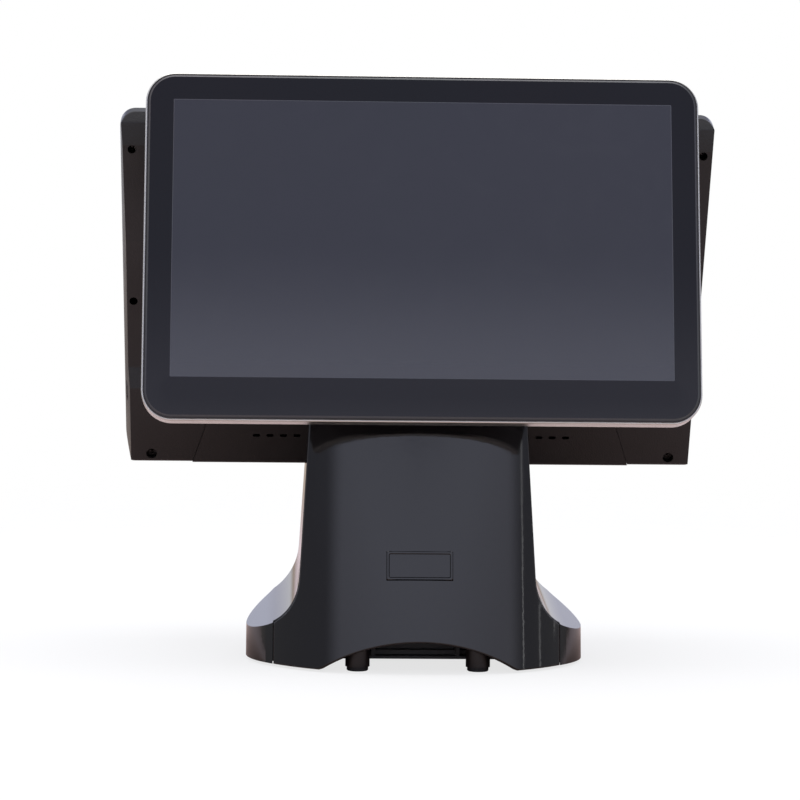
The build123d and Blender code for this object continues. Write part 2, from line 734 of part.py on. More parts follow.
pieces = {
    "front_panel": front_panel(),
    "stand_shell": stand_shell(),
    "column_back_panel": column_back_panel(),
    "column_screws": column_screws(),
    "badge_frame": badge_frame(),
    "badge_plate": badge_plate(),
    "base_plate": base_plate(),
    "base_screws": base_screws(),
    "ballast_plate": ballast_plate(),
    "foot_pads": foot_pads(),
    "cable_tunnel": cable_tunnel(),
    "upright_bracket": upright_bracket(),
    "upright_bolts": upright_bolts(),
    "customer_shaft": hinge_shaft(customer_shaft_y),
    "main_shaft": hinge_shaft(main_shaft_y),
    "shaft_nuts": shaft_nuts(),
    "friction_washers": friction_washers(),
    "customer_leaf": hinge_leaf(*customer_leaf),
    "customer_leaf_screws": leaf_screws(*customer_leaf),
    "customer_glass": customer_place(customer_glass()),
    "customer_trim": customer_place(customer_trim()),
    "customer_frame": customer_place(customer_frame()),
    "customer_lcd": customer_place(customer_lcd()),
    "customer_shell": customer_place(customer_shell()),
    "customer_board": customer_place(customer_board()),
    "customer_board_posts": customer_place(customer_board_posts()),
    "customer_screws": customer_place(customer_screws()),
    "customer_gland": customer_place(customer_gland()),
    "main_leaf": hinge_leaf(*main_leaf),
    "main_leaf_screws": leaf_screws(*main_leaf),
    "main_glass": main_place(main_glass()),
    "main_frame": main_place(main_frame()),
    "main_lcd": main_place(main_lcd()),
    "main_cover": main_place(main_cover()),
    "port_cover": main_place(port_cover()),
    "corner_screws": main_place(corner_screws()),
    "corner_posts": main_place(corner_posts()),
    "side_screws": main_place(side_screws()),
    "main_chassis": main_place(main_chassis()),
    "main_board": main_place(main_board()),
    "board_posts": main_place(board_posts()),
    "port_row": main_place(port_row()),
    "heat_sink": main_place(heat_sink()),
    "fan_housing": main_place(fan_housing()),
    "fan_rotor": main_place(fan_rotor()),
    "storage_drive": main_place(storage_drive()),
    "memory_module": main_place(memory_module()),
    "speakers": main_place(speakers()),
    "power_button": main_place(power_button()),
    "button_switch": main_place(button_switch()),
}

os.makedirs("parts", exist_ok=True)
for name, shape in pieces.items():
    export_step(shape, f"parts/{name}.step")
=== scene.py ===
import bmesh
import bpy
import math
from mathutils import Matrix, Vector


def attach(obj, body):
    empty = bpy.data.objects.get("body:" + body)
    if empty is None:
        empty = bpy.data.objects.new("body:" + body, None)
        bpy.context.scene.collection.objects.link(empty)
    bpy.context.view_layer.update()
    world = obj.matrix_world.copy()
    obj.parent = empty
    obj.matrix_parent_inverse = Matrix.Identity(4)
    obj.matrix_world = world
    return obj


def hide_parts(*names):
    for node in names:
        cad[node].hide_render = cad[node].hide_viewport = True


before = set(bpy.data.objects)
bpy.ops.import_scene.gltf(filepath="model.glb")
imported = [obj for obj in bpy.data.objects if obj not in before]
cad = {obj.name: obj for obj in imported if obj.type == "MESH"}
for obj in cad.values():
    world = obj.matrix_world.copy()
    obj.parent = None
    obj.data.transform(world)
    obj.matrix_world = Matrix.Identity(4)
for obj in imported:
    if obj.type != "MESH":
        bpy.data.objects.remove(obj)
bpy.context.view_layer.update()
scene = bpy.context.scene
scene.view_settings.view_transform = "Standard"
mm = 0.001
print("frame loaded:", len(cad), "CAD nodes")

# the customer's screen faces -Y and leans back, the operator's faces +Y and leans back further
customerUnit = {"width": 379.6, "height": 239.2, "corner": 18.5, "tilt": 12.0,
                "centreZ": 294.9, "active": (344.2, 193.6), "activeRise": 5.2,
                "chamfer": (1.1, 0.6), "edgeLine": 0.9, "thick": 2.0, "outerHeight": 239.2}
operatorUnit = {"width": 421.0, "height": 260.0, "corner": 8.0, "tilt": 24.0,
                "centreZ": 271.5, "active": (382.1, 214.9), "activeRise": 0.0,
                "chamfer": (0.4, 0.4), "edgeLine": 0.8, "thick": 2.0, "outerHeight": 266.0}
halfReach = 113.7        # how far the lower front edge of each unit stands from the middle


def unitPlace(unit, facing):
    # millimetres in the unit's own frame (X across, Y up the screen, Z out of it) to metres
    lean = math.radians(unit["tilt"])
    along = Vector((0, -facing * math.sin(lean), math.cos(lean)))
    out = Vector((0, facing * math.cos(lean), math.sin(lean)))
    across = along.cross(out)
    back = unit["outerHeight"] / 2 * math.sin(lean)
    centre = Vector((0, facing * (halfReach - back), unit["centreZ"]))
    turn = Matrix((across, along, out)).transposed().to_4x4()
    return Matrix.Scale(mm, 4) @ Matrix.Translation(centre) @ turn


customerPlace = unitPlace(customerUnit, -1)
operatorPlace = unitPlace(operatorUnit, 1)


# camera and studio light
cameraSettings = {"place": (-0.0928, -2.0478, 0.2863), "yaw": 2.279, "pitch": -2.834,
                  "roll": 0.622, "lens": 128.19, "sensor": 36}


def makeCamera():
    data = bpy.data.cameras.new("portraitCamera")
    data.lens, data.sensor_width = cameraSettings["lens"], cameraSettings["sensor"]
    camera = bpy.data.objects.new("portraitCamera", data)
    scene.collection.objects.link(camera)
    yaw, pitch, roll = (math.radians(cameraSettings[k]) for k in ("yaw", "pitch", "roll"))
    camera.location = cameraSettings["place"]
    aim = Matrix.Rotation(-yaw, 4, "Z") @ Matrix.Rotation(math.pi / 2 + pitch, 4, "X")
    camera.rotation_euler = (aim @ Matrix.Rotation(roll, 4, "Z")).to_euler()
    scene.camera = camera


makeCamera()

# heights run from straight down (0) to straight up (1), level being 0.5
studio = {"backdrop": 1.0, "skyGain": 1.45, "bandTurn": -7.0,
          "sideFade": (0.40, 0.60, 0.38, 1.0), "overhead": (0.45, 0.8),
          "heights": [(0.0, (0.30, 0.24, 0.20)), (0.485, (0.34, 0.28, 0.24)),
                      (0.505, (0.60, 0.60, 0.64)), (0.585, (0.66, 0.67, 0.80)),
                      (0.635, (0.84, 0.87, 1.06)), (0.655, (0.82, 0.85, 1.04)),
                      (0.672, (0.40, 0.41, 0.53)), (0.690, (0.29, 0.30, 0.41)),
                      (0.735, (0.29, 0.30, 0.41)), (0.80, (0.48, 0.49, 0.56)),
                      (1.0, (0.80, 0.80, 0.84))]}


def makeWorld():
    world = bpy.data.worlds.new("paleStudio")
    world.use_nodes = True
    scene.world = world
    tree = world.node_tree
    nodes, links = tree.nodes, tree.links
    nodes.clear()
    lightFrame = nodes.new("NodeFrame"); lightFrame.label = "light round the set, by height"
    sideFrame = nodes.new("NodeFrame"); sideFrame.label = "dimmer to the left and right"
    seenFrame = nodes.new("NodeFrame"); seenFrame.label = "plain backdrop for the camera"
    way = nodes.new("ShaderNodeTexCoord"); way.label = "direction"; way.location = (-1300, 0)
    split = nodes.new("ShaderNodeSeparateXYZ"); split.label = "height of the ray"
    split.location = (-1100, 200); split.parent = lightFrame
    toRamp = nodes.new("ShaderNodeMapRange"); toRamp.label = "down to up as 0 to 1"
    toRamp.location = (-900, 200); toRamp.parent = lightFrame
    toRamp.inputs["From Min"].default_value = -1
    ramp = nodes.new("ShaderNodeValToRGB"); ramp.label = "walls, band of windows, ceiling"
    ramp.location = (-700, 200); ramp.parent = lightFrame
    for index, (spot, colour) in enumerate(studio["heights"]):
        stop = ramp.color_ramp.elements[index] if index < 2 else ramp.color_ramp.elements.new(spot)
        stop.position, stop.color = spot, (*colour, 1)
    turn = nodes.new("ShaderNodeMapping"); turn.label = "turn the band"; turn.location = (-1100, -150)
    turn.parent = sideFrame
    turn.inputs["Rotation"].default_value = (0, 0, math.radians(studio["bandTurn"]))
    turn.inputs["Scale"].default_value = (1, 1, 0)
    level = nodes.new("ShaderNodeVectorMath"); level.label = "compass direction"
    level.operation = "NORMALIZE"; level.location = (-900, -150); level.parent = sideFrame
    facing = nodes.new("ShaderNodeSeparateXYZ"); facing.label = "front or back"
    facing.location = (-700, -150); facing.parent = sideFrame
    size = nodes.new("ShaderNodeMath"); size.label = "either way"; size.operation = "ABSOLUTE"
    size.location = (-520, -150); size.parent = sideFrame
    dim = nodes.new("ShaderNodeMapRange"); dim.label = "fade to the sides"
    dim.interpolation_type = "SMOOTHSTEP"; dim.location = (-340, -150); dim.parent = sideFrame
    for key, value in zip(("From Min", "From Max", "To Min", "To Max"), studio["sideFade"]):
        dim.inputs[key].default_value = value
    above = nodes.new("ShaderNodeMapRange"); above.label = "no fade overhead"
    above.location = (-340, -420); above.parent = sideFrame
    above.inputs["From Min"].default_value, above.inputs["From Max"].default_value = studio["overhead"]
    fade = nodes.new("ShaderNodeMix"); fade.label = "fade by height"; fade.location = (-140, -200)
    fade.parent = sideFrame
    fade.inputs["B"].default_value = 1.0
    gain = nodes.new("ShaderNodeMath"); gain.label = "strength"; gain.operation = "MULTIPLY"
    gain.location = (60, -100); gain.inputs[1].default_value = studio["skyGain"]
    room = nodes.new("ShaderNodeBackground"); room.label = "studio light"; room.location = (240, 100)
    room.parent = lightFrame
    plain = nodes.new("ShaderNodeBackground"); plain.label = "backdrop"; plain.location = (240, -120)
    plain.parent = seenFrame
    plain.inputs["Strength"].default_value = studio["backdrop"]
    plain.inputs["Color"].default_value = (1, 1, 1, 1)
    path = nodes.new("ShaderNodeLightPath"); path.label = "seen directly?"; path.location = (240, 420)
    path.parent = seenFrame
    pick = nodes.new("ShaderNodeMixShader"); pick.label = "light or backdrop"; pick.location = (480, 60)
    out = nodes.new("ShaderNodeOutputWorld"); out.label = "world"; out.location = (680, 60)
    links.new(way.outputs["Generated"], split.inputs[0])
    links.new(split.outputs["Z"], toRamp.inputs["Value"])
    links.new(toRamp.outputs["Result"], ramp.inputs["Fac"])
    links.new(way.outputs["Generated"], turn.inputs["Vector"])
    links.new(turn.outputs["Vector"], level.inputs[0])
    links.new(level.outputs["Vector"], facing.inputs[0])
    links.new(facing.outputs["Y"], size.inputs[0])
    links.new(size.outputs[0], dim.inputs["Value"])
    links.new(split.outputs["Z"], above.inputs["Value"])
    links.new(above.outputs["Result"], fade.inputs["Factor"])
    links.new(dim.outputs["Result"], fade.inputs["A"])
    links.new(fade.outputs["Result"], gain.inputs[0])
    links.new(ramp.outputs["Color"], room.inputs["Color"])
    links.new(gain.outputs[0], room.inputs["Strength"])
    links.new(path.outputs["Is Camera Ray"], pick.inputs[0])
    links.new(room.outputs[0], pick.inputs[1])
    links.new(plain.outputs[0], pick.inputs[2])
    links.new(pick.outputs[0], out.inputs["Surface"])


makeWorld()


def softBox(name, place, aim, width, height, watts, colour=(1, 1, 1)):
    data = bpy.data.lights.new(name, "AREA")
    data.shape, data.size, data.size_y = "RECTANGLE", width, height
    data.energy, data.color = watts, colour
    lamp = bpy.data.objects.new(name, data)
    scene.collection.objects.link(lamp)
    lamp.location = place
    lamp.rotation_euler = (Vector(aim) - Vector(place)).to_track_quat("-Z", "Y").to_euler()


# lamp: place, what it points at, width, height, watts and colour
lamps = {"overheadBox": ((0, -0.2, 2.3), (0, 0, 0), 2.0, 1.6, 24, (1, 1, 1)),
         "leftFill": ((-1.8, -0.9, 1.5), (0, 0, 0.25), 1.0, 1.0, 4, (1, 1, 1)),
         "upperWindow": ((0.75, -2.5, 2.05), (0.1, 0, 0.35), 0.8, 0.3, 2.6, (0.86, 0.93, 1.0))}
for lampName, setting in lamps.items():
    softBox(lampName, *setting)
# narrow tubes whose reflections run down the right-hand side of the column
tubes = {"angleAndWidth": ((71, 0.03), (84, 0.05), (97, 0.04)), "reach": 2.4, "middleZ": 0.75,
         "aim": (0, 0, 0.3), "tall": 1.3, "watts": 0.25}
for number, (angle, width) in enumerate(tubes["angleAndWidth"]):
    spot = Vector((math.sin(math.radians(angle)), -math.cos(math.radians(angle)), 0)) * tubes["reach"]
    softBox(f"tube{number}", spot + Vector((0, 0, tubes["middleZ"])), tubes["aim"],
            width, tubes["tall"], tubes["watts"])
print("camera, studio and lights made")



def startMaterial(name):
    material = bpy.data.materials.new(name)
    material.use_nodes = True
    material.node_tree.nodes.clear()
    return material, material.node_tree.nodes, material.node_tree.links


def setOut(nodes, left, across, rows, top, down):
    # places the nodes on the page in columns, in the order in which they were made
    for index, node in enumerate(n for n in nodes if n.type != "FRAME"):
        node.location = (left + across * (index // rows), top - down * (index % rows))


def polishedPlastic(name, finish):
    # lacquered moulding: faint orange peel, wiping haze, settled dust and hairline scratches
    material, nodes, links = startMaterial(name)
    peelFrame = nodes.new("NodeFrame"); peelFrame.label = "orange peel and hairlines"
    hazeFrame = nodes.new("NodeFrame"); hazeFrame.label = "wiping haze"
    dustFrame = nodes.new("NodeFrame"); dustFrame.label = "settled dust"
    where = nodes.new("ShaderNodeTexCoord"); where.label = "object position"
    smear = nodes.new("ShaderNodeMapping"); smear.label = "stretch wipe marks"
    smear.inputs["Scale"].default_value = (1.0, 1.0, 0.35)
    haze = nodes.new("ShaderNodeTexNoise"); haze.label = "wipe marks"
    haze.inputs["Scale"].default_value = 26
    haze.inputs["Detail"].default_value = 6
    rough = nodes.new("ShaderNodeMapRange"); rough.label = "haze to roughness"
    rough.inputs["From Min"].default_value, rough.inputs["From Max"].default_value = 0.4, 0.72
    rough.inputs["To Min"].default_value, rough.inputs["To Max"].default_value = finish["roughness"]
    peel = nodes.new("ShaderNodeTexNoise"); peel.label = "orange peel"
    peel.inputs["Scale"].default_value, peel.inputs["Detail"].default_value = finish["peelScale"], 1
    peelBump = nodes.new("ShaderNodeBump"); peelBump.label = "peel height"
    peelBump.inputs["Strength"].default_value = finish["peel"]
    peelBump.inputs["Distance"].default_value = 0.0004
    drag = nodes.new("ShaderNodeMapping"); drag.label = "long thin marks"
    drag.inputs["Rotation"].default_value = (0.2, 0.5, 0.7)
    drag.inputs["Scale"].default_value = (1500, 1500, 12)
    hair = nodes.new("ShaderNodeTexNoise"); hair.label = "hairline scratches"
    hair.inputs["Scale"].default_value, hair.inputs["Detail"].default_value = 1, 2
    thin = nodes.new("ShaderNodeMapRange"); thin.label = "keep the deepest"
    thin.inputs["From Min"].default_value, thin.inputs["From Max"].default_value = 0.72, 0.8
    hairBump = nodes.new("ShaderNodeBump"); hairBump.label = "scratch depth"
    hairBump.invert = True
    hairBump.inputs["Strength"].default_value = 0.08
    hairBump.inputs["Distance"].default_value = 0.0001
    specks = nodes.new("ShaderNodeTexVoronoi"); specks.label = "dust specks"
    specks.inputs["Scale"].default_value = 330
    dots = nodes.new("ShaderNodeMapRange"); dots.label = "speck size"
    dots.inputs["From Min"].default_value, dots.inputs["From Max"].default_value = 0.10, 0.05
    patches = nodes.new("ShaderNodeTexNoise"); patches.label = "where dust gathers"
    patches.inputs["Scale"].default_value = 9
    sparse = nodes.new("ShaderNodeMapRange"); sparse.label = "only in patches"
    sparse.inputs["From Min"].default_value, sparse.inputs["From Max"].default_value = 0.52, 0.72
    amount = nodes.new("ShaderNodeMath"); amount.label = "dust amount"
    amount.operation = "MULTIPLY"
    share = nodes.new("ShaderNodeMath"); share.label = "faintness"
    share.operation = "MULTIPLY"; share.inputs[1].default_value = finish["dust"]
    colour = nodes.new("ShaderNodeMix"); colour.label = "plastic and dust"
    colour.data_type = "RGBA"
    colour.inputs["A"].default_value = (*finish["colour"], 1)
    colour.inputs["B"].default_value = (0.32, 0.30, 0.28, 1)
    shader = nodes.new("ShaderNodeBsdfPrincipled"); shader.label = "black lacquered plastic"
    shader.inputs["IOR"].default_value = finish["ior"]
    shader.inputs["Coat Weight"].default_value = finish["coat"]
    shader.inputs["Coat Roughness"].default_value = 0.015
    out = nodes.new("ShaderNodeOutputMaterial"); out.label = "surface"
    for node in (smear, haze, rough):
        node.parent = hazeFrame
    for node in (peel, peelBump, drag, hair, thin, hairBump):
        node.parent = peelFrame
    for node in (specks, dots, patches, sparse, amount, share, colour):
        node.parent = dustFrame
    setOut(nodes, -1500, 210, 3, 300, 330)
    links.new(where.outputs["Object"], smear.inputs["Vector"])
    links.new(smear.outputs["Vector"], haze.inputs["Vector"])
    links.new(haze.outputs["Fac"], rough.inputs["Value"])
    links.new(rough.outputs["Result"], shader.inputs["Roughness"])
    links.new(where.outputs["Object"], peel.inputs["Vector"])
    links.new(peel.outputs["Fac"], peelBump.inputs["Height"])
    links.new(where.outputs["Object"], drag.inputs["Vector"])
    links.new(drag.outputs["Vector"], hair.inputs["Vector"])
    links.new(hair.outputs["Fac"], thin.inputs["Value"])
    links.new(thin.outputs["Result"], hairBump.inputs["Height"])
    links.new(peelBump.outputs["Normal"], hairBump.inputs["Normal"])
    links.new(hairBump.outputs["Normal"], shader.inputs["Normal"])
    links.new(where.outputs["Object"], specks.inputs["Vector"])
    links.new(specks.outputs["Distance"], dots.inputs["Value"])
    links.new(where.outputs["Object"], patches.inputs["Vector"])
    links.new(patches.outputs["Fac"], sparse.inputs["Value"])
    links.new(dots.outputs["Result"], amount.inputs[0])
    links.new(sparse.outputs["Result"], amount.inputs[1])
    links.new(amount.outputs[0], share.inputs[0])
    links.new(share.outputs[0], colour.inputs["Factor"])
    links.new(colour.outputs["Result"], shader.inputs["Base Color"])
    links.new(shader.outputs[0], out.inputs["Surface"])
    return material


def mouldedPlastic(name, finish):
    # spark-eroded mould texture with slight colour drift and rubbed, shinier patches
    material, nodes, links = startMaterial(name)
    grainFrame = nodes.new("NodeFrame"); grainFrame.label = "mould grain"
    toneFrame = nodes.new("NodeFrame"); toneFrame.label = "colour drift"
    rubFrame = nodes.new("NodeFrame"); rubFrame.label = "rubbed patches"
    where = nodes.new("ShaderNodeTexCoord"); where.label = "object position"
    grain = nodes.new("ShaderNodeTexNoise"); grain.label = "fine grain"
    grain.inputs["Scale"].default_value = finish["grainScale"]
    grain.inputs["Detail"].default_value = 3
    pits = nodes.new("ShaderNodeTexVoronoi"); pits.label = "grain pits"
    pits.feature = "SMOOTH_F1"
    pits.inputs["Scale"].default_value = finish["grainScale"] * 0.7
    both = nodes.new("ShaderNodeMath"); both.label = "grain and pits"
    both.operation = "MULTIPLY_ADD"
    both.inputs[1].default_value = 0.6
    bump = nodes.new("ShaderNodeBump"); bump.label = "grain height"
    bump.inputs["Strength"].default_value = finish["grain"]
    bump.inputs["Distance"].default_value = 0.0004
    drift = nodes.new("ShaderNodeTexNoise"); drift.label = "slow tone change"
    drift.inputs["Scale"].default_value = 14
    drift.inputs["Detail"].default_value = 5
    tone = nodes.new("ShaderNodeMix"); tone.label = "two close tones"
    tone.data_type = "RGBA"
    tone.inputs["A"].default_value = (*finish["colour"], 1)
    tone.inputs["B"].default_value = (*(c * finish["drift"] for c in finish["colour"]), 1)
    rub = nodes.new("ShaderNodeTexNoise"); rub.label = "handled areas"
    rub.inputs["Scale"].default_value = 21
    rub.inputs["Detail"].default_value = 3
    rough = nodes.new("ShaderNodeMapRange"); rough.label = "rubbed to roughness"
    rough.inputs["From Min"].default_value, rough.inputs["From Max"].default_value = 0.35, 0.68
    rough.inputs["To Min"].default_value, rough.inputs["To Max"].default_value = finish["roughness"]
    shader = nodes.new("ShaderNodeBsdfPrincipled"); shader.label = "moulded surface"
    shader.inputs["Specular IOR Level"].default_value = finish["specular"]
    out = nodes.new("ShaderNodeOutputMaterial"); out.label = "surface"
    for node in (grain, pits, both, bump):
        node.parent = grainFrame
    for node in (drift, tone):
        node.parent = toneFrame
    for node in (rub, rough):
        node.parent = rubFrame
    setOut(nodes, -1100, 220, 2, 250, 350)
    links.new(where.outputs["Object"], grain.inputs["Vector"])
    links.new(where.outputs["Object"], pits.inputs["Vector"])
    links.new(grain.outputs["Fac"], both.inputs[0])
    links.new(pits.outputs["Distance"], both.inputs[2])
    links.new(both.outputs[0], bump.inputs["Height"])
    links.new(bump.outputs["Normal"], shader.inputs["Normal"])
    links.new(where.outputs["Object"], drift.inputs["Vector"])
    links.new(drift.outputs["Fac"], tone.inputs["Factor"])
    links.new(tone.outputs["Result"], shader.inputs["Base Color"])
    links.new(where.outputs["Object"], rub.inputs["Vector"])
    links.new(rub.outputs["Fac"], rough.inputs["Value"])
    links.new(rough.outputs["Result"], shader.inputs["Roughness"])
    links.new(shader.outputs[0], out.inputs["Surface"])
    return material


def screenGlass(name, finish):
    # flat glass over a dark layer: finger haze, the layer's own fine grid, and a painted reflection that
    # makes the lower part paler
    material, nodes, links = startMaterial(name)
    layerFrame = nodes.new("NodeFrame"); layerFrame.label = "layer behind the glass and painted reflection"
    hazeFrame = nodes.new("NodeFrame"); hazeFrame.label = "finger haze"
    where = nodes.new("ShaderNodeTexCoord"); where.label = "object position"
    lean = nodes.new("ShaderNodeMapping"); lean.label = "square to the screen"
    lean.inputs["Rotation"].default_value = (math.radians(screenLayer["lean"]), 0, 0)
    lean.inputs["Scale"].default_value = (finish["pitch"],) * 3
    split = nodes.new("ShaderNodeSeparateXYZ"); split.label = "across and up"
    across = nodes.new("ShaderNodeMath"); across.label = "columns"
    across.operation = "PINGPONG"; across.inputs[1].default_value = 0.5
    up = nodes.new("ShaderNodeMath"); up.label = "rows"
    up.operation = "PINGPONG"; up.inputs[1].default_value = 0.5
    cell = nodes.new("ShaderNodeMath"); cell.label = "cell mask"
    cell.operation = "MULTIPLY"
    gridMix = nodes.new("ShaderNodeMix"); gridMix.label = "grid over layer"
    gridMix.data_type = "RGBA"
    gridMix.inputs["A"].default_value = (*finish["colour"], 1)
    gridMix.inputs["B"].default_value = (*finish["gridColour"], 1)
    clouds = nodes.new("ShaderNodeTexNoise"); clouds.label = "uneven layer"
    clouds.inputs["Scale"].default_value = 7
    clouds.inputs["Detail"].default_value = 3
    uneven = nodes.new("ShaderNodeMix"); uneven.label = "slow tone change"
    uneven.data_type = "RGBA"; uneven.blend_type = "MULTIPLY"
    uneven.inputs["Factor"].default_value = 0.35
    # painted reflection: a paler colour added by height, strongest towards the lower edge
    height = nodes.new("ShaderNodeSeparateXYZ"); height.label = "height"
    low = nodes.new("ShaderNodeMapRange"); low.label = "towards the lower edge"
    low.interpolation_type = "SMOOTHSTEP"
    low.inputs["From Min"].default_value, low.inputs["From Max"].default_value = screenLayer["paintedReflectionFrom"]
    paler = nodes.new("ShaderNodeMix"); paler.label = "painted reflection, paler low down"
    paler.data_type = "RGBA"; paler.blend_type = "ADD"
    paler.inputs["B"].default_value = (*finish["pale"], 1)
    prints = nodes.new("ShaderNodeTexNoise"); prints.label = "finger marks"
    prints.inputs["Scale"].default_value = 34
    prints.inputs["Detail"].default_value = 5
    prints.inputs["Distortion"].default_value = 1.2
    rough = nodes.new("ShaderNodeMapRange"); rough.label = "marks to roughness"
    rough.inputs["From Min"].default_value, rough.inputs["From Max"].default_value = 0.45, 0.75
    rough.inputs["To Min"].default_value, rough.inputs["To Max"].default_value = finish["roughness"]
    shader = nodes.new("ShaderNodeBsdfPrincipled"); shader.label = "glass face"
    shader.inputs["Specular IOR Level"].default_value = finish["specular"]
    shader.inputs["Coat Weight"].default_value = finish["coat"]
    shader.inputs["Coat Roughness"].default_value = 0.012
    out = nodes.new("ShaderNodeOutputMaterial"); out.label = "surface"
    for node in (lean, split, across, up, cell, gridMix, clouds, uneven, height, low, paler):
        node.parent = layerFrame
    for node in (prints, rough):
        node.parent = hazeFrame
    setOut(nodes, -1300, 210, 2, 250, 350)
    links.new(where.outputs["Object"], lean.inputs["Vector"])
    links.new(lean.outputs["Vector"], split.inputs[0])
    links.new(split.outputs["X"], across.inputs[0])
    links.new(split.outputs["Z"], up.inputs[0])
    links.new(across.outputs[0], cell.inputs[0])
    links.new(up.outputs[0], cell.inputs[1])
    links.new(cell.outputs[0], gridMix.inputs["Factor"])
    links.new(where.outputs["Object"], clouds.inputs["Vector"])
    links.new(gridMix.outputs["Result"], uneven.inputs["A"])
    links.new(clouds.outputs["Color"], uneven.inputs["B"])
    links.new(where.outputs["Object"], height.inputs[0])
    links.new(height.outputs["Z"], low.inputs["Value"])
    links.new(low.outputs["Result"], paler.inputs["Factor"])
    links.new(uneven.outputs["Result"], paler.inputs["A"])
    links.new(paler.outputs["Result"], shader.inputs["Base Color"])
    links.new(where.outputs["Object"], prints.inputs["Vector"])
    links.new(prints.outputs["Fac"], rough.inputs["Value"])
    links.new(rough.outputs["Result"], shader.inputs["Roughness"])
    links.new(shader.outputs[0], out.inputs["Surface"])
    return material


def workedMetal(name, finish):
    # brushed, plated or cast metal, by how far its marks are stretched
    material, nodes, links = startMaterial(name)
    markFrame = nodes.new("NodeFrame"); markFrame.label = "working marks"
    toneFrame = nodes.new("NodeFrame"); toneFrame.label = "tarnish"
    where = nodes.new("ShaderNodeTexCoord"); where.label = "object position"
    stretch = nodes.new("ShaderNodeMapping"); stretch.label = "direction of the marks"
    stretch.inputs["Scale"].default_value = finish["stretch"]
    marks = nodes.new("ShaderNodeTexNoise"); marks.label = "brush marks"
    marks.inputs["Scale"].default_value = 1
    marks.inputs["Detail"].default_value = 5
    bump = nodes.new("ShaderNodeBump"); bump.label = "mark depth"
    bump.inputs["Strength"].default_value = finish["marks"]
    bump.inputs["Distance"].default_value = 0.0002
    rough = nodes.new("ShaderNodeMapRange"); rough.label = "marks to roughness"
    rough.inputs["From Min"].default_value, rough.inputs["From Max"].default_value = 0.3, 0.7
    rough.inputs["To Min"].default_value, rough.inputs["To Max"].default_value = finish["roughness"]
    stain = nodes.new("ShaderNodeTexNoise"); stain.label = "tarnish patches"
    stain.inputs["Scale"].default_value = 38
    stain.inputs["Detail"].default_value = 4
    tone = nodes.new("ShaderNodeMix"); tone.label = "clean and tarnished"
    tone.data_type = "RGBA"
    tone.inputs["A"].default_value = (*finish["colour"], 1)
    tone.inputs["B"].default_value = (*(c * 0.8 for c in finish["colour"]), 1)
    shader = nodes.new("ShaderNodeBsdfPrincipled"); shader.label = "metal"
    shader.inputs["Metallic"].default_value = finish["metallic"]
    out = nodes.new("ShaderNodeOutputMaterial"); out.label = "surface"
    for node in (stretch, marks, bump, rough):
        node.parent = markFrame
    for node in (stain, tone):
        node.parent = toneFrame
    setOut(nodes, -900, 220, 2, 250, 350)
    links.new(where.outputs["Object"], stretch.inputs["Vector"])
    links.new(stretch.outputs["Vector"], marks.inputs["Vector"])
    links.new(marks.outputs["Fac"], bump.inputs["Height"])
    links.new(bump.outputs["Normal"], shader.inputs["Normal"])
    links.new(marks.outputs["Fac"], rough.inputs["Value"])
    links.new(rough.outputs["Result"], shader.inputs["Roughness"])
    links.new(where.outputs["Object"], stain.inputs["Vector"])
    links.new(stain.outputs["Fac"], tone.inputs["Factor"])
    links.new(tone.outputs["Result"], shader.inputs["Base Color"])
    links.new(shader.outputs[0], out.inputs["Surface"])
    return material


def circuitResin(name, finish):
    # solder mask over copper tracks, with the tracks standing slightly proud
    material, nodes, links = startMaterial(name)
    trackFrame = nodes.new("NodeFrame"); trackFrame.label = "copper tracks"
    where = nodes.new("ShaderNodeTexCoord"); where.label = "object position"
    lean = nodes.new("ShaderNodeMapping"); lean.label = "square to the board"
    lean.inputs["Rotation"].default_value = (math.radians(90), 0, 0)
    tracks = nodes.new("ShaderNodeTexBrick"); tracks.label = "runs of track"
    tracks.inputs["Scale"].default_value = 95
    tracks.inputs["Mortar Size"].default_value = 0.035
    tracks.inputs["Color1"].default_value = (*finish["mask"], 1)
    tracks.inputs["Color2"].default_value = (*(c * 0.75 for c in finish["mask"]), 1)
    tracks.inputs["Mortar"].default_value = (*finish["track"], 1)
    bump = nodes.new("ShaderNodeBump"); bump.label = "track height"
    bump.inputs["Strength"].default_value = 0.3
    bump.inputs["Distance"].default_value = 0.0003
    shader = nodes.new("ShaderNodeBsdfPrincipled"); shader.label = "solder mask"
    shader.inputs["Roughness"].default_value = 0.32
    out = nodes.new("ShaderNodeOutputMaterial"); out.label = "surface"
    for node in (lean, tracks, bump):
        node.parent = trackFrame
    setOut(nodes, -800, 230, 1, 120, 0)
    links.new(where.outputs["Object"], lean.inputs["Vector"])
    links.new(lean.outputs["Vector"], tracks.inputs["Vector"])
    links.new(tracks.outputs["Fac"], bump.inputs["Height"])
    links.new(bump.outputs["Normal"], shader.inputs["Normal"])
    links.new(tracks.outputs["Color"], shader.inputs["Base Color"])
    links.new(shader.outputs[0], out.inputs["Surface"])
    return material


glossBlack = {"colour": (0.005, 0.005, 0.0055), "roughness": (0.03, 0.10), "peelScale": 260,
              "peel": 0.035, "dust": 0.10, "ior": 1.5, "coat": 0.0}
satinBlack = {"colour": (0.0105, 0.0088, 0.0085), "roughness": (0.30, 0.42), "grainScale": 1500,
              "grain": 0.22, "drift": 0.75, "specular": 0.42}
frameBlack = {"colour": (0.009, 0.009, 0.0105), "roughness": (0.22, 0.34), "grainScale": 1900,
              "grain": 0.12, "drift": 0.8, "specular": 0.5}
padRubber = {"colour": (0.018, 0.018, 0.018), "roughness": (0.65, 0.8), "grainScale": 900,
             "grain": 0.4, "drift": 0.7, "specular": 0.35}
castBlack = {"colour": (0.035, 0.034, 0.033), "roughness": (0.45, 0.62), "grainScale": 420,
             "grain": 0.7, "drift": 0.7, "specular": 0.5}
blackZinc = {"colour": (0.05, 0.048, 0.046), "roughness": (0.28, 0.42), "marks": 0.1,
             "stretch": (300, 300, 300), "metallic": 1.0}
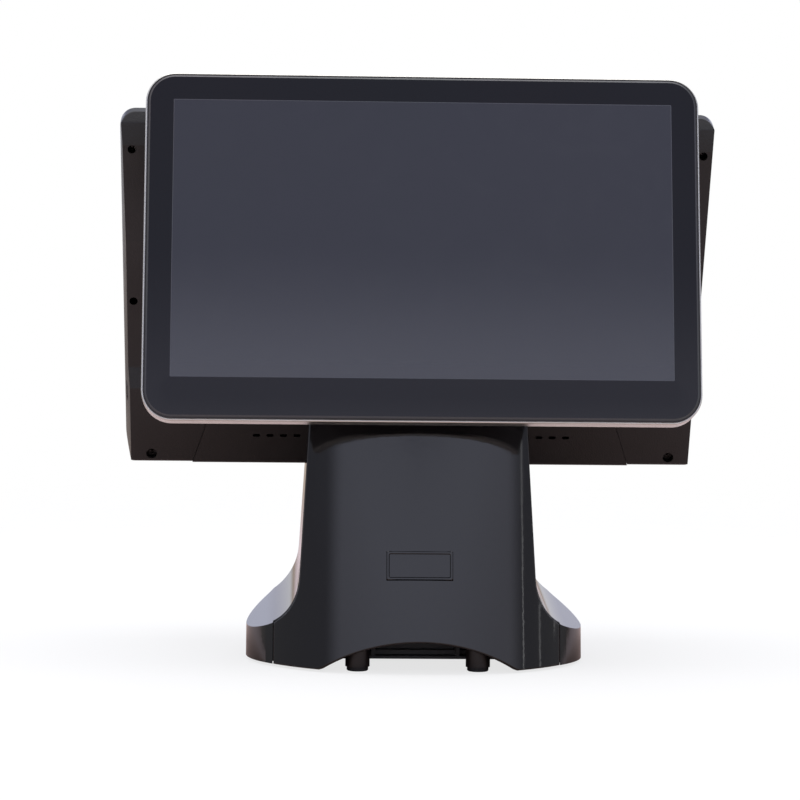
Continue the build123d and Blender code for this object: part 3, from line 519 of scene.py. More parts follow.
brightBand = {"colour": (0.66, 0.645, 0.60), "roughness": (0.24, 0.36), "marks": 0.12,
              "stretch": (18, 900, 900), "metallic": 1.0}
coatedSteel = {"colour": (0.06, 0.06, 0.062), "roughness": (0.42, 0.55), "marks": 0.25,
               "stretch": (700, 700, 700), "metallic": 0.0}
plainSteel = {"colour": (0.50, 0.50, 0.49), "roughness": (0.3, 0.45), "marks": 0.2,
              "stretch": (40, 600, 600), "metallic": 1.0}
brightSteel = {"colour": (0.62, 0.62, 0.61), "roughness": (0.14, 0.24), "marks": 0.1,
               "stretch": (900, 60, 60), "metallic": 1.0}
screwSteel = {"colour": (0.56, 0.55, 0.53), "roughness": (0.22, 0.34), "marks": 0.12,
              "stretch": (500, 500, 500), "metallic": 1.0}
brassTone = {"colour": (0.63, 0.45, 0.20), "roughness": (0.2, 0.3), "marks": 0.1,
             "stretch": (600, 600, 90), "metallic": 1.0}
sinkTone = {"colour": (0.66, 0.67, 0.68), "roughness": (0.28, 0.4), "marks": 0.15,
            "stretch": (700, 80, 80), "metallic": 1.0}
boardTone = {"mask": (0.012, 0.075, 0.035), "track": (0.05, 0.16, 0.06)}
# angle of the layer's grid, and the heights between which the painted reflection makes the layer paler, in
# metres
screenLayer = {"lean": -12, "paintedReflectionFrom": (0.3, 0.2)}
# pale is the colour of the painted reflection added towards the lower edge of the glass; the edge finishes
# add none
bezelPrintAndPaintedReflection = {"colour": (0.004, 0.004, 0.0045), "gridColour": (0.004, 0.004, 0.0045), "pitch": 900,
              "roughness": (0.016, 0.045), "specular": 0.5, "coat": 0.0, "pale": (0.010, 0.010, 0.011)}
darkPanelAndPaintedReflection = {"colour": (0.003, 0.0035, 0.005), "gridColour": (0.009, 0.0105, 0.0135), "pitch": 3600,
             "roughness": (0.10, 0.13), "specular": 0.85, "coat": 1.0, "pale": (0.036, 0.038, 0.040)}
panelRim = {"colour": (0.05, 0.052, 0.06), "gridColour": (0.05, 0.052, 0.06), "pitch": 900,
            "roughness": (0.3, 0.4), "specular": 0.5, "coat": 1.0, "pale": (0, 0, 0)}
groundEdge = {"colour": (0.055, 0.056, 0.06), "gridColour": (0.06, 0.061, 0.065), "pitch": 900,
              "roughness": (0.32, 0.42), "specular": 0.5, "coat": 0.0, "pale": (0, 0, 0)}

finishes = {
    "gloss_black": polishedPlastic("lacqueredBlack", glossBlack),
    "satin_black": mouldedPlastic("satinBlackMoulding", satinBlack),
    "frame_black": mouldedPlastic("fineBlackMoulding", frameBlack),
    "pad_rubber": mouldedPlastic("footRubber", padRubber),
    "cast_ballast": mouldedPlastic("paintedCasting", castBlack),
    "screw_black": workedMetal("blackZincScrew", blackZinc),
    "bright_trim": workedMetal("brushedBand", brightBand),
    "coated_steel": workedMetal("powderCoatedSteel", coatedSteel),
    "plain_steel": workedMetal("zincPlatedSteel", plainSteel),
    "bright_steel": workedMetal("turnedSteel", brightSteel),
    "screw_steel": workedMetal("steelScrew", screwSteel),
    "brass_posts": workedMetal("turnedBrass", brassTone),
    "sink_aluminium": workedMetal("finAluminium", sinkTone),
    "circuit_board": circuitResin("circuitBoardResin", boardTone),
    "screen_glass": screenGlass("printedBorderGlassAndPaintedReflection", bezelPrintAndPaintedReflection),
    "screen_panel": screenGlass("unlitPanelAndPaintedReflection", darkPanelAndPaintedReflection),
}
panelRimFinish = screenGlass("panelBorderLine", panelRim)
groundEdgeFinish = screenGlass("groundGlassEdge", groundEdge)

for node in cad.values():
    for holder in node.material_slots:
        holder.material = finishes[holder.material.name.split(".")[0]]
print("finishes made:", len(finishes) + 2)


# making shared by the pieces
def finishPiece(name, mesh, body, finishList, nodesReplaced, smoothAngle):
    for finish in finishList:
        mesh.materials.append(finish)
    mesh.polygons.foreach_set("use_smooth", [True] * len(mesh.polygons))
    mesh.set_sharp_from_angle(angle=math.radians(smoothAngle))
    piece = bpy.data.objects.new(name, mesh)
    scene.collection.objects.link(piece)
    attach(piece, body)
    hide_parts(*nodesReplaced)


def roundedRing(width, height, corner, depth, shiftUp=0.0, cornerSteps=12):
    # one closed ring of points, anticlockwise seen from the front
    ring = []
    for turn, (sx, sy) in enumerate(((1, 1), (-1, 1), (-1, -1), (1, -1))):
        cx, cy = sx * (width / 2 - corner), sy * (height / 2 - corner) + shiftUp
        for step in range(cornerSteps + 1):
            angle = math.radians(90 * (turn + step / cornerSteps))
            ring.append((cx + corner * math.cos(angle), cy + corner * math.sin(angle), depth))
    return ring


# front glass of each screen
# small breaks of the chamfer's two edges, and the corners and sink of the lit area, in millimetres
glassEdges = {"outerBreak": 0.15, "innerBreak": 0.2, "innerDrop": 0.06,
              "lineCorner": 0.7, "panelCorner": 0.5, "panelSink": 0.02}


def makeGlass(name, unit, place, body, nodeName):
    width, height, corner = unit["width"], unit["height"], unit["corner"]
    slope, drop = unit["chamfer"]
    activeWidth, activeHeight = unit["active"]
    rise, line = unit["activeRise"], unit["edgeLine"]
    outer, inner = glassEdges["outerBreak"], slope + glassEdges["innerBreak"]
    rings = [roundedRing(width, height, corner, -unit["thick"]),
             roundedRing(width, height, corner, -drop - outer),
             roundedRing(width - 2 * outer, height - 2 * outer, corner - outer, -drop),
             roundedRing(width - 2 * slope, height - 2 * slope, corner - slope, -glassEdges["innerDrop"]),
             roundedRing(width - 2 * inner, height - 2 * inner, corner - inner, 0),
             roundedRing(activeWidth + line, activeHeight + line, glassEdges["lineCorner"], 0, rise),
             roundedRing(activeWidth, activeHeight, glassEdges["panelCorner"],
                         -glassEdges["panelSink"], rise)]
    count = len(rings[0])
    points = [place @ Vector(p) for ring in rings for p in ring]
    faces, marks = [], []
    bands = [1, 1, 1, 1, 0, 3]             # finish of each band, from the back edge inwards
    for level, mark in enumerate(bands):
        for i in range(count):
            j = (i + 1) % count
            faces.append((level * count + i, level * count + j,
                          (level + 1) * count + j, (level + 1) * count + i))
            marks.append(mark)
    last = (len(rings) - 1) * count
    faces += [tuple(range(last, last + count)), tuple(reversed(range(count)))]
    marks += [2, 0]
    mesh = bpy.data.meshes.new(name)
    mesh.from_pydata(points, [], faces)
    mesh.polygons.foreach_set("material_index", marks)
    finishList = [finishes["screen_glass"], groundEdgeFinish, finishes["screen_panel"], panelRimFinish]
    finishPiece(name, mesh, body, finishList, [nodeName], 8)


makeGlass("customerFrontGlass", customerUnit, customerPlace, "customer_unit", "customer_glass")
makeGlass("operatorFrontGlass", operatorUnit, operatorPlace, "operator_unit", "main_glass")
print("glass made")

# polished front panel of the stand
column = {"halfWidth": 120.5, "frontDepth": 95.0, "widestY": -11.4, "endRadius": 70.0,
          "lean": 11.0, "rise": 7.0, "tip": (128.5, 11.9), "neck": (84.4, 36.7),
          "head": (69.6, 292.0), "sweep": 45.0, "seamX": 101.0, "topZ": 232.0,
          "bottomZ": 2.0, "archSpan": 72.0, "archHeight": 23.0, "badge": (46.2, 20.2, 57.94),
          "wall": 3.0, "edgeRound": 0.8, "riseFromY": -75.0, "lowRowsTo": 40.0, "highRowsFrom": 190.0}


def frontCurveY(x):
    # plan of the leaning front: one wide arc across the middle
    side = column["halfWidth"] - column["endRadius"]
    deep, end = column["frontDepth"], column["endRadius"]
    radius = (side ** 2 + deep ** 2 - end ** 2) / (2 * (deep - end))
    return deep - radius, radius, -(deep - radius) - math.sqrt(radius ** 2 - x ** 2)


def panelPoint(x, t, depth):
    # point of the front skin at x and at t up the lean, set in by depth
    middle, radius, y = frontCurveY(x)
    share = 1 - depth / radius
    localX, localY = x * share, -middle + (y + middle) * share
    lean = math.radians(column["lean"])
    return Vector((localX, column["widestY"] + localY * math.cos(lean) + t * math.sin(lean),
                   -localY * math.sin(lean) + t * math.cos(lean)))


def alongLean(x, z):
    # how far up the lean a height z is at x
    lean = math.radians(column["lean"])
    return (z + frontCurveY(x)[2] * math.sin(lean)) / math.cos(lean)


def sweepHalfWidth(x, t):
    # half width of the sweep from the wing up into the column, at the height of this point
    point = panelPoint(x, t, 0)
    rise = math.radians(column["rise"])
    level = point.z * math.cos(rise) - (point.y - column["riseFromY"]) * math.sin(rise)
    tip, neck, head = (Vector(column[k]) for k in ("tip", "neck", "head"))
    down, up = (tip - neck).normalized(), (head - neck).normalized()
    halfAngle = down.angle(up) / 2
    reach = column["sweep"] / math.tan(halfAngle)
    centre = neck + (down + up).normalized() * column["sweep"] / math.sin(halfAngle)
    high, low = (neck + up * reach).y, (neck + down * reach).y
    if level > high:
        return neck.x + (head.x - neck.x) * (level - neck.y) / (head.y - neck.y)
    if level > low:
        return centre.x - math.sqrt(column["sweep"] ** 2 - (level - centre.y) ** 2)
    return neck.x + (tip.x - neck.x) * (neck.y - level) / (neck.y - tip.y)


def panelEdgeX(t):
    # settles on the edge, as the sweep's width depends on where the point lies
    x = 80.0
    for _ in range(12):
        x = min(column["seamX"], sweepHalfWidth(x, t))
    return x


def panelBottom(x):
    radius = (column["archSpan"] ** 2 + column["archHeight"] ** 2) / (2 * column["archHeight"])
    arch = 0.0
    if abs(x) < column["archSpan"]:
        arch = column["archHeight"] - radius + math.sqrt(radius ** 2 - x ** 2)
    return alongLean(x, max(column["bottomZ"], arch))


def makeFrontPanel():
    badgeWidth, badgeHeight, badgeT = column["badge"]
    inner, roundOff = badgeWidth / 2, column["edgeRound"]
    rings = [0, 0.05, 0.16, 0.34, 0.6, 0.8, 1.15]          # distances in from an edge
    tMiddle, tTop = column["lowRowsTo"], column["highRowsFrom"]
    tLow, tHigh = badgeT - badgeHeight / 2, badgeT + badgeHeight / 2
    # columns: (share of the way from the badge's side to the edge, distance in from the edge)
    columns = [(i / 5, None) for i in range(6)] + [(0, i / 26) for i in range(1, 27)]
    columns += [(0, -ring) for ring in reversed(rings)]
    rows = [("bottom", ring) for ring in rings] + [("low", i / 22) for i in range(1, 23)]
    rows += [("level", tMiddle + (tLow - tMiddle) * i / 3) for i in range(1, 4)]
    rows += [("level", tLow + (tHigh - tLow) * i / 6) for i in range(1, 7)]
    rows += [("level", tHigh + (tTop - tHigh) * i / 30) for i in range(1, 31)]
    rows += [("high", i / 10) for i in range(1, 11)] + [("top", ring) for ring in reversed(rings[:-1])]
    last = rings[-1]

    def crossX(spec, t):
        share, away = spec
        if away is None:
            return inner * share
        edge = panelEdgeX(t)
        if away > 0:
            return inner + (edge - last - inner) * away
        return edge + away

    def place(spec, row, sign):
        kind, value = row
        x, t = crossX(spec, 30.0), 0.0
        for _ in range(6):
            bottom, top = panelBottom(x), alongLean(x, column["topZ"])
            t = {"bottom": bottom + value, "low": bottom + last + (tMiddle - bottom - last) * value,
                 "level": value, "high": tTop + (top - last - tTop) * value, "top": top - value}[kind]
            x = crossX(spec, t)
        gap = min(panelEdgeX(t) - x, t - bottom, top - t)
        drop = 0.0
        if gap < roundOff:
            drop = roundOff - math.sqrt(max(0.0, roundOff ** 2 - (roundOff - gap) ** 2))
        return panelPoint(sign * x, t, drop), panelPoint(sign * x, t, column["wall"])

    line = [(-1, spec) for spec in reversed(columns[1:])] + [(1, spec) for spec in columns]
    wide, tall = len(line), len(rows)
    front, back = [], []
    for row in rows:
        for sign, spec in line:
            near, far = place(spec, row, sign)
            front.append(near * mm)
            back.append(far * mm)
    hole = [i for i, row in enumerate(rows) if row[0] == "level" and tLow - 0.01 < row[1] < tHigh + 0.01]
    hidden = {(r, c) for r in range(hole[0], hole[-1])
              for c in range(wide) if abs(c + 0.5 - (wide - 1) / 2) < 5}
    faces, edges, count = [], {}, len(front)
    for r in range(tall - 1):
        for c in range(wide - 1):
            if (r, c) in hidden:
                continue
            a, b = r * wide + c, r * wide + c + 1
            face = (a, b, b + wide, a + wide)
            faces += [face, tuple(count + i for i in reversed(face))]
            for i in range(4):
                edge = (face[i], face[(i + 1) % 4])
                edges[edge] = True
    for (a, b) in edges:
        if (b, a) not in edges:
            faces.append((b, a, count + a, count + b))
    mesh = bpy.data.meshes.new("standFrontPanel")
    mesh.from_pydata(front + back, [], faces)
    mesh.validate()
    finishPiece("standFrontPanel", mesh, "stand",
                [finishes["gloss_black"]], ["front_panel"], 50)


makeFrontPanel()
print("front panel made")

# moulded cover with softened edges
coverEdges = {"round": 1.7, "steps": 4, "draft": 0.16, "frameDepth": 8.5, "halfWidth": 213.5,
              "buttonY": -84.0, "buttonClear": 9, "buttonAbove": -30, "behind": -10,
              "topCorner": (200, 120), "facesBack": -0.35, "facesOut": -0.3}


def softenedCopy(nodeName, pieceName, body, slot, width, steps, picked):
    # copy of a CAD piece with its flat faces joined up and the picked edges rounded
    made = bmesh.new()
    made.from_mesh(cad[nodeName].data)
    bmesh.ops.remove_doubles(made, verts=made.verts, dist=2e-6)
    bmesh.ops.dissolve_limit(made, angle_limit=math.radians(0.5), verts=made.verts, edges=made.edges)
    chosen = [e for e in made.edges if len(e.link_faces) == 2 and e.calc_face_angle() > 0.3 and picked(e)]
    bmesh.ops.bevel(made, geom=chosen, offset=width * mm, offset_type="OFFSET", segments=steps,
                    profile=0.5, affect="EDGES", clamp_overlap=True)
    mesh = bpy.data.meshes.new(pieceName)
    made.to_mesh(mesh)
    made.free()
    if "custom_normal" in mesh.attributes:
        mesh.attributes.remove(mesh.attributes["custom_normal"])
    mesh.materials.clear()
    print(pieceName, "edges rounded:", len(chosen))
    finishPiece(pieceName, mesh, body, [finishes[slot]], [nodeName], 30)


def coverRim(edge):
    # the cover's outer back edge: a side wall on one side of it and a back face on the other
    middle = operatorPlace.inverted() @ ((edge.verts[0].co + edge.verts[1].co) / 2)
    halfWidth = coverEdges["halfWidth"] - (abs(middle.z) - coverEdges["frameDepth"]) * coverEdges["draft"]
    cornerX, cornerY = coverEdges["topCorner"]
    nearEdge = abs(middle.x) > halfWidth - 0.5 or (abs(middle.x) > cornerX and middle.y > cornerY)
    byButton = (abs(middle.y - coverEdges["buttonY"]) < coverEdges["buttonClear"]
                and middle.z > coverEdges["buttonAbove"])
    toUnit = operatorPlace.inverted().to_3x3()
    slopes = sorted((toUnit @ f.normal).normalized().z for f in edge.link_faces)
    outAndBack = slopes[0] < coverEdges["facesBack"] and slopes[1] > coverEdges["facesOut"]
    return nearEdge and not byButton and middle.z < coverEdges["behind"] and outAndBack


softenedCopy("main_cover", "operatorCover", "operator_unit", "satin_black",
             coverEdges["round"], coverEdges["steps"], coverRim)
print("cover softened")

# pan-head screws, made by one tree on placed points
screwSizes = {"domeFall": 0.42, "sides": 28, "recessWide": 0.7, "recessDeep": 1.0, "seed": 7,
              "mostSpin": 1.57}


def makeScrewTree():
    tree = bpy.data.node_groups.new("panHeadScrews", "GeometryNodeTree")
    face = tree.interface
    face.new_socket("Geometry", in_out="INPUT", socket_type="NodeSocketGeometry")
    for label, value in (("Head Radius", 0.003), ("Head Height", 0.0018), ("Dome Fall", 0.4),
                         ("Recess Width", 0.0007), ("Recess Depth", 0.001),
                         ("Shank Radius", 0.0014), ("Shank Length", 0.006)):
        face.new_socket(label, in_out="INPUT", socket_type="NodeSocketFloat").default_value = value
    for label, value in (("Sides", 28), ("Seed", 7)):
        face.new_socket(label, in_out="INPUT", socket_type="NodeSocketInt").default_value = value
    face.new_socket("Material", in_out="INPUT", socket_type="NodeSocketMaterial")
    face.new_socket("Geometry", in_out="OUTPUT", socket_type="NodeSocketGeometry")
    nodes, links = tree.nodes, tree.links
    headFrame = nodes.new("NodeFrame"); headFrame.label = "domed head"
    recessFrame = nodes.new("NodeFrame"); recessFrame.label = "cross recess"
    spreadFrame = nodes.new("NodeFrame"); spreadFrame.label = "one screw at each point"
    given = nodes.new("NodeGroupInput"); given.label = "sizes"
    head = nodes.new("GeometryNodeMeshCylinder"); head.label = "head blank"
    head.inputs["Side Segments"].default_value = 3
    head.inputs["Fill Segments"].default_value = 7
    where = nodes.new("GeometryNodeInputPosition"); where.label = "point"
    split = nodes.new("ShaderNodeSeparateXYZ"); split.label = "its height"
    flat = nodes.new("ShaderNodeVectorMath"); flat.label = "drop the height"
    flat.operation = "MULTIPLY"; flat.inputs[1].default_value = (1, 1, 0)
    out = nodes.new("ShaderNodeVectorMath"); out.label = "distance from the axis"
    out.operation = "LENGTH"
    share = nodes.new("ShaderNodeMath"); share.label = "as a share of the radius"
    share.operation = "DIVIDE"
    power = nodes.new("ShaderNodeMath"); power.label = "flat centre, round shoulder"
    power.operation = "POWER"; power.inputs[1].default_value = 3.4
    fall = nodes.new("ShaderNodeMath"); fall.label = "fall at the rim"; fall.operation = "MULTIPLY"
    scaled = nodes.new("ShaderNodeMath"); scaled.label = "fall by height"; scaled.operation = "MULTIPLY"
    up = nodes.new("ShaderNodeMath"); up.label = "only above the base"; up.operation = "ADD"
    half = nodes.new("ShaderNodeMath"); half.label = "half height"; half.operation = "MULTIPLY"
    half.inputs[1].default_value = 0.5
    dropped = nodes.new("ShaderNodeMath"); dropped.label = "fallen height"; dropped.operation = "MULTIPLY"
    minus = nodes.new("ShaderNodeMath"); minus.label = "downwards"; minus.operation = "MULTIPLY"
    minus.inputs[1].default_value = -1
    move = nodes.new("ShaderNodeCombineXYZ"); move.label = "shift"
    dome = nodes.new("GeometryNodeSetPosition"); dome.label = "dome the head"
    lift = nodes.new("ShaderNodeCombineXYZ"); lift.label = "stand on the base"
    onBase = nodes.new("GeometryNodeTransform"); onBase.label = "head on the base"
    span = nodes.new("ShaderNodeMath"); span.label = "length of the cross"; span.operation = "MULTIPLY"
    span.inputs[1].default_value = 1.15
    deep = nodes.new("ShaderNodeMath"); deep.label = "twice the depth"; deep.operation = "MULTIPLY"
    deep.inputs[1].default_value = 2
    sizeOne = nodes.new("ShaderNodeCombineXYZ"); sizeOne.label = "slot one"
    sizeTwo = nodes.new("ShaderNodeCombineXYZ"); sizeTwo.label = "slot two"
    slotOne = nodes.new("GeometryNodeMeshCube"); slotOne.label = "slot"
    slotTwo = nodes.new("GeometryNodeMeshCube"); slotTwo.label = "cross slot"
    atTop = nodes.new("ShaderNodeCombineXYZ"); atTop.label = "top of the head"
    bothSlots = nodes.new("GeometryNodeMeshBoolean"); bothSlots.label = "join the slots"
    bothSlots.operation = "UNION"
    raised = nodes.new("GeometryNodeTransform"); raised.label = "raise the cutter"
    cut = nodes.new("GeometryNodeMeshBoolean"); cut.label = "cut the recess"
    cut.operation = "DIFFERENCE"
    shank = nodes.new("GeometryNodeMeshCylinder"); shank.label = "shank"
    shank.inputs["Vertices"].default_value = 14
    down = nodes.new("ShaderNodeMath"); down.label = "half length down"; down.operation = "MULTIPLY"
    down.inputs[1].default_value = -0.5
    below = nodes.new("ShaderNodeCombineXYZ"); below.label = "below the head"
    hung = nodes.new("GeometryNodeTransform"); hung.label = "hang the shank"
    whole = nodes.new("GeometryNodeJoinGeometry"); whole.label = "head and shank"
    facing = nodes.new("GeometryNodeInputNamedAttribute"); facing.label = "which way it faces"
    facing.data_type = "FLOAT_VECTOR"; facing.inputs["Name"].default_value = "facing"
    aim = nodes.new("FunctionNodeAlignRotationToVector"); aim.label = "stand it up"
    spin = nodes.new("FunctionNodeRandomValue"); spin.label = "where the driver stopped"
    for socket in spin.inputs:             # the node has a Max socket for each of its data types
        if socket.name == "Max" and socket.type == "VALUE":
            socket.default_value = screwSizes["mostSpin"]
    spinTurn = nodes.new("ShaderNodeCombineXYZ"); spinTurn.label = "spin on its axis"
    turned = nodes.new("FunctionNodeRotateRotation"); turned.label = "spun"
    turned.rotation_space = "LOCAL"
    spread = nodes.new("GeometryNodeInstanceOnPoints"); spread.label = "screws"
    real = nodes.new("GeometryNodeRealizeInstances"); real.label = "real meshes"
    paint = nodes.new("GeometryNodeSetMaterial"); paint.label = "screw finish"
    result = nodes.new("NodeGroupOutput"); result.label = "result"
    for node in (head, where, split, flat, out, share, power, fall, scaled, up, half, dropped, minus,
                 move, dome, lift, onBase):
        node.parent = headFrame
    for node in (span, deep, sizeOne, sizeTwo, slotOne, slotTwo, atTop, bothSlots, raised, cut):
        node.parent = recessFrame
    for node in (facing, aim, spin, spinTurn, turned, spread):
        node.parent = spreadFrame
    setOut(nodes, -1800, 200, 3, 300, 260)
    links.new(given.outputs["Sides"], head.inputs["Vertices"])
    links.new(given.outputs["Head Radius"], head.inputs["Radius"])
    links.new(given.outputs["Head Height"], head.inputs["Depth"])
    links.new(where.outputs[0], split.inputs[0])
    links.new(where.outputs[0], flat.inputs[0])
    links.new(flat.outputs["Vector"], out.inputs[0])
    links.new(out.outputs["Value"], share.inputs[0])
    links.new(given.outputs["Head Radius"], share.inputs[1])
    links.new(share.outputs[0], power.inputs[0])
    links.new(power.outputs[0], fall.inputs[0])
    links.new(given.outputs["Dome Fall"], fall.inputs[1])
    links.new(given.outputs["Head Height"], half.inputs[0])
    links.new(split.outputs["Z"], up.inputs[0])
    links.new(half.outputs[0], up.inputs[1])
    links.new(fall.outputs[0], scaled.inputs[0])
    links.new(up.outputs[0], scaled.inputs[1])
    links.new(scaled.outputs[0], minus.inputs[0])
    links.new(minus.outputs[0], move.inputs["Z"])
    links.new(head.outputs["Mesh"], dome.inputs["Geometry"])
    links.new(move.outputs[0], dome.inputs["Offset"])
    links.new(half.outputs[0], lift.inputs["Z"])
    links.new(dome.outputs["Geometry"], onBase.inputs["Geometry"])
    links.new(lift.outputs[0], onBase.inputs["Translation"])
    links.new(given.outputs["Head Radius"], span.inputs[0])
    links.new(given.outputs["Recess Depth"], deep.inputs[0])
    links.new(span.outputs[0], sizeOne.inputs["X"])
    links.new(given.outputs["Recess Width"], sizeOne.inputs["Y"])
    links.new(deep.outputs[0], sizeOne.inputs["Z"])
    links.new(given.outputs["Recess Width"], sizeTwo.inputs["X"])
    links.new(span.outputs[0], sizeTwo.inputs["Y"])
    links.new(deep.outputs[0], sizeTwo.inputs["Z"])
    links.new(sizeOne.outputs[0], slotOne.inputs["Size"])
    links.new(sizeTwo.outputs[0], slotTwo.inputs["Size"])
    links.new(slotOne.outputs["Mesh"], bothSlots.inputs["Mesh 2"])
    links.new(slotTwo.outputs["Mesh"], bothSlots.inputs["Mesh 2"])
    links.new(given.outputs["Head Height"], atTop.inputs["Z"])
    links.new(bothSlots.outputs["Mesh"], raised.inputs["Geometry"])
    links.new(atTop.outputs[0], raised.inputs["Translation"])
    links.new(onBase.outputs["Geometry"], cut.inputs["Mesh 1"])
    links.new(raised.outputs["Geometry"], cut.inputs["Mesh 2"])
    links.new(given.outputs["Shank Radius"], shank.inputs["Radius"])
    links.new(given.outputs["Shank Length"], shank.inputs["Depth"])
    links.new(given.outputs["Shank Length"], down.inputs[0])
    links.new(down.outputs[0], below.inputs["Z"])
    links.new(shank.outputs["Mesh"], hung.inputs["Geometry"])
    links.new(below.outputs[0], hung.inputs["Translation"])
    links.new(cut.outputs["Mesh"], whole.inputs[0])
    links.new(hung.outputs["Geometry"], whole.inputs[0])
    links.new(given.outputs["Geometry"], spread.inputs["Points"])
    links.new(whole.outputs[0], spread.inputs["Instance"])
    links.new(facing.outputs["Attribute"], aim.inputs["Vector"])
    links.new(given.outputs["Seed"], spin.inputs["Seed"])
    links.new(spin.outputs[1], spinTurn.inputs["Z"])
    links.new(aim.outputs["Rotation"], turned.inputs["Rotation"])
    links.new(spinTurn.outputs[0], turned.inputs["Rotate By"])
    links.new(turned.outputs["Rotation"], spread.inputs["Rotation"])
    links.new(spread.outputs["Instances"], real.inputs["Geometry"])
    links.new(real.outputs["Geometry"], paint.inputs["Geometry"])
    links.new(given.outputs["Material"], paint.inputs["Material"])
    links.new(paint.outputs["Geometry"], result.inputs["Geometry"])
    return tree


def runTree(tree, points, facings, values):
    # runs the tree on bare points and gives back a plain mesh
    seedMesh = bpy.data.meshes.new("placedPoints")
    seedMesh.from_pydata(points, [], [])
    layer = seedMesh.attributes.new("facing", "FLOAT_VECTOR", "POINT")
    layer.data.foreach_set("vector", [c for facing in facings for c in facing])
    holder = bpy.data.objects.new("placedPoints", seedMesh)
    scene.collection.objects.link(holder)
    modifier = holder.modifiers.new("tree", "NODES")
    modifier.node_group = tree
    for item in tree.interface.items_tree:
        if item.item_type == "SOCKET" and item.in_out == "INPUT" and item.name in values:
            modifier[item.identifier] = values[item.name]
    graph = bpy.context.evaluated_depsgraph_get()
    mesh = bpy.data.meshes.new_from_object(holder.evaluated_get(graph), depsgraph=graph)
    holder.modifiers.clear()
    bpy.data.objects.remove(holder)
    return mesh


screwTree = makeScrewTree()
columnRear = {"angle": 76.986, "lowY": 52, "lowZ": 20, "drawsIn": 49, "tall": 212, "gap": 0.05}
rearAngle = math.radians(columnRear["angle"])
backOfColumn = Vector((0, math.sin(rearAngle), math.cos(rearAngle)))
world = Matrix.Scale(mm, 4)


def columnBack(z):
    y = columnRear["lowY"] - (z - columnRear["lowZ"]) * columnRear["drawsIn"] / columnRear["tall"]
    return Vector((0, y, z)) + backOfColumn * columnRear["gap"]


# node: piece, body, finish, frame, places, direction, head radius, head height, shank radius and length
screwSets = {
    "side_screws": ("sideScrews", "operator_unit", "screw_black", operatorPlace,
                    [(s * 204.8, y, -15.5) for s in (-1, 1) for y in (109, -5)],
                    (0, 0, -1), 2.6, 1.5, 1.4, 6),
    "corner_screws": ("cornerScrews", "operator_unit", "screw_black", operatorPlace,
                      [(s * 193, -125.8, -36.0) for s in (-1, 1)], (0, 0, -1), 2.9, 1.8, 1.4, 6),
    "main_leaf_screws": ("operatorLeafScrews", "operator_unit", "screw_steel", operatorPlace,
                         [(s * 47, y, -36.07) for s in (-1, 1) for y in (-27.31, 22.69)],
                         (0, 0, -1), 3.6, 1.8, 2.0, 3),
    "customer_leaf_screws": ("customerLeafScrews", "customer_unit", "screw_steel", customerPlace,
                             [(s * 40, y, -33.07) for s in (-1, 1) for y in (-57.68, -15.68)],
                             (0, 0, -1), 3.6, 1.8, 2.0, 3),
    "customer_screws": ("customerBackScrews", "customer_unit", "screw_black", customerPlace,
                        [(s * 150, y, -30.02) for s in (-1, 1) for y in (-88, 88)],
                        (0, 0, -1), 3.2, 1.8, 1.4, 2.3),
    "column_screws": ("columnScrews", "stand", "screw_black", world,
                      [tuple(columnBack(z)) for z in (84, 206)], tuple(backOfColumn), 3.2, 1.8, 1.4, 5),
    "base_screws": ("baseScrews", "stand", "screw_steel", world,
                    [(-96, 20, 2.98), (96, 20, 2.98), (-72, -32, 2.98), (72, -32, 2.98),
                     (-34, 84, 2.98), (34, 84, 2.98)], (0, 0, -1), 3.2, 1.3, 1.6, 9),
}
for nodeName, (pieceName, body, slot, place, spots, way, headR, headH, shankR, shankL) in screwSets.items():
    facing = (place.to_3x3() @ Vector(way)).normalized()
    values = {"Head Radius": headR * mm, "Head Height": headH * mm, "Dome Fall": screwSizes["domeFall"],
              "Recess Width": screwSizes["recessWide"] * mm, "Recess Depth": screwSizes["recessDeep"] * mm,
              "Shank Radius": shankR * mm, "Shank Length": shankL * mm, "Sides": screwSizes["sides"],
              "Seed": screwSizes["seed"], "Material": finishes[slot]}
    mesh = runTree(screwTree, [place @ Vector(s) for s in spots], [facing] * len(spots), values)
    mesh.materials.clear()
    finishPiece(pieceName, mesh, body, [finishes[slot]], [nodeName], 32)
print("screws made:", sum(len(s[4]) for s in screwSets.values()))


# floor
floorSettings = {"size": 6.0, "clear": (0.55, 1.6), "tone": 0.93, "lift": 0.75,
                 "counter": (0.58, 0.43, 0.37), "beyond": (0.70, 0.58, 0.57), "spread": (0.16, 0.42),
                 "unevenBy": 0.015}


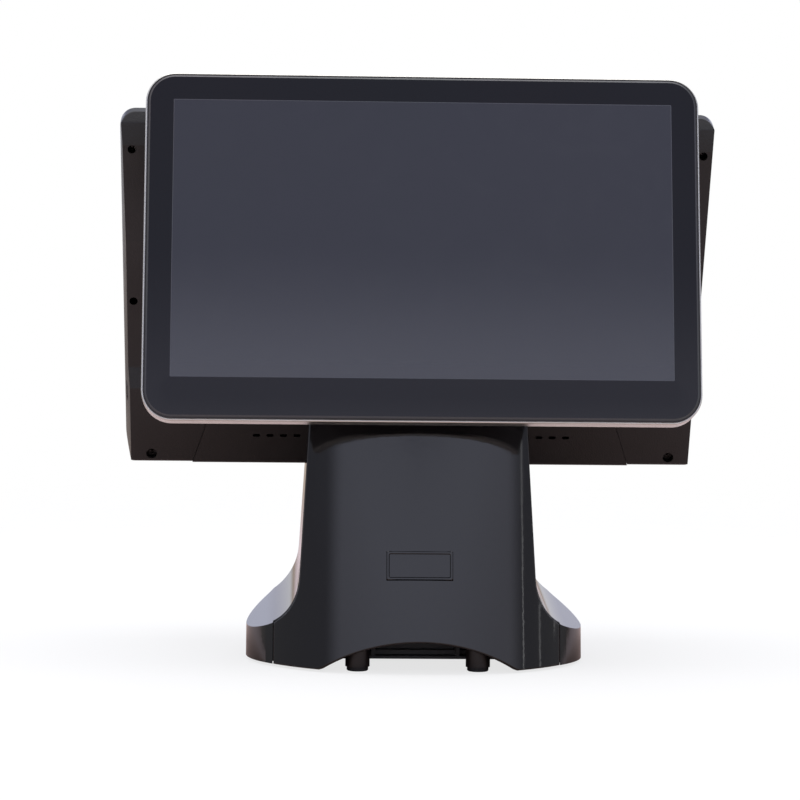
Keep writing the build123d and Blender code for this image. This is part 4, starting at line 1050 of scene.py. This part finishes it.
def makeFloor():
    mesh = bpy.data.meshes.new("studioFloor")
    half = floorSettings["size"] / 2
    mesh.from_pydata([(-half, -half, 0), (half, -half, 0), (half, half, 0), (-half, half, 0)], [],
                     [(0, 1, 2, 3)])
    material, nodes, links = startMaterial("paleFloor")
    fadeFrame = nodes.new("NodeFrame"); fadeFrame.label = "fades into the backdrop"
    where = nodes.new("ShaderNodeTexCoord"); where.label = "floor position"
    far = nodes.new("ShaderNodeVectorMath"); far.label = "distance out"; far.operation = "LENGTH"
    fade = nodes.new("ShaderNodeMapRange"); fade.label = "where it fades"
    fade.interpolation_type = "SMOOTHSTEP"
    fade.inputs["From Min"].default_value, fade.inputs["From Max"].default_value = floorSettings["clear"]
    mottle = nodes.new("ShaderNodeTexNoise"); mottle.label = "paper tone"
    mottle.inputs["Scale"].default_value = 5
    tone = nodes.new("ShaderNodeMix"); tone.label = "barely uneven"; tone.data_type = "RGBA"
    tone.inputs["A"].default_value = (floorSettings["tone"],) * 3 + (1,)
    tone.inputs["B"].default_value = (floorSettings["tone"] - floorSettings["unevenBy"],) * 3 + (1,)
    matt = nodes.new("ShaderNodeBsdfDiffuse"); matt.label = "pale paper"
    lit = nodes.new("ShaderNodeEmission"); lit.label = "softens the shadow"
    paper = nodes.new("ShaderNodeMixShader"); paper.label = "lit paper"
    paper.inputs[0].default_value = floorSettings["lift"]
    near = nodes.new("ShaderNodeMapRange"); near.label = "near the foot or beyond"
    near.inputs["From Min"].default_value, near.inputs["From Max"].default_value = floorSettings["spread"]
    ground = nodes.new("ShaderNodeMix"); ground.label = "counter near by, paler beyond"
    ground.data_type = "RGBA"
    ground.inputs["A"].default_value = (*floorSettings["counter"], 1)
    ground.inputs["B"].default_value = (*floorSettings["beyond"], 1)
    warm = nodes.new("ShaderNodeBsdfDiffuse"); warm.label = "counter in reflections"
    path = nodes.new("ShaderNodeLightPath"); path.label = "seen directly?"
    choose = nodes.new("ShaderNodeMixShader"); choose.label = "paper or counter"
    clear = nodes.new("ShaderNodeBsdfTransparent"); clear.label = "backdrop shows"
    mixed = nodes.new("ShaderNodeMixShader"); mixed.label = "paper or backdrop"
    out = nodes.new("ShaderNodeOutputMaterial"); out.label = "surface"
    for node in (far, fade):
        node.parent = fadeFrame
    setOut(nodes, -700, 220, 2, 200, 300)
    links.new(where.outputs["Object"], far.inputs[0])
    links.new(far.outputs["Value"], fade.inputs["Value"])
    links.new(where.outputs["Object"], mottle.inputs["Vector"])
    links.new(mottle.outputs["Fac"], tone.inputs["Factor"])
    links.new(tone.outputs["Result"], matt.inputs["Color"])
    links.new(fade.outputs["Result"], mixed.inputs[0])
    links.new(far.outputs["Value"], near.inputs["Value"])
    links.new(near.outputs["Result"], ground.inputs["Factor"])
    links.new(ground.outputs["Result"], warm.inputs["Color"])
    links.new(matt.outputs[0], paper.inputs[1])
    links.new(lit.outputs[0], paper.inputs[2])
    links.new(path.outputs["Is Camera Ray"], choose.inputs[0])
    links.new(warm.outputs[0], choose.inputs[1])
    links.new(paper.outputs[0], choose.inputs[2])
    links.new(choose.outputs[0], mixed.inputs[1])
    links.new(clear.outputs[0], mixed.inputs[2])
    links.new(mixed.outputs[0], out.inputs["Surface"])
    mesh.materials.append(material)
    floor = bpy.data.objects.new("studioFloor", mesh)
    scene.collection.objects.link(floor)


makeFloor()
print("floor made")
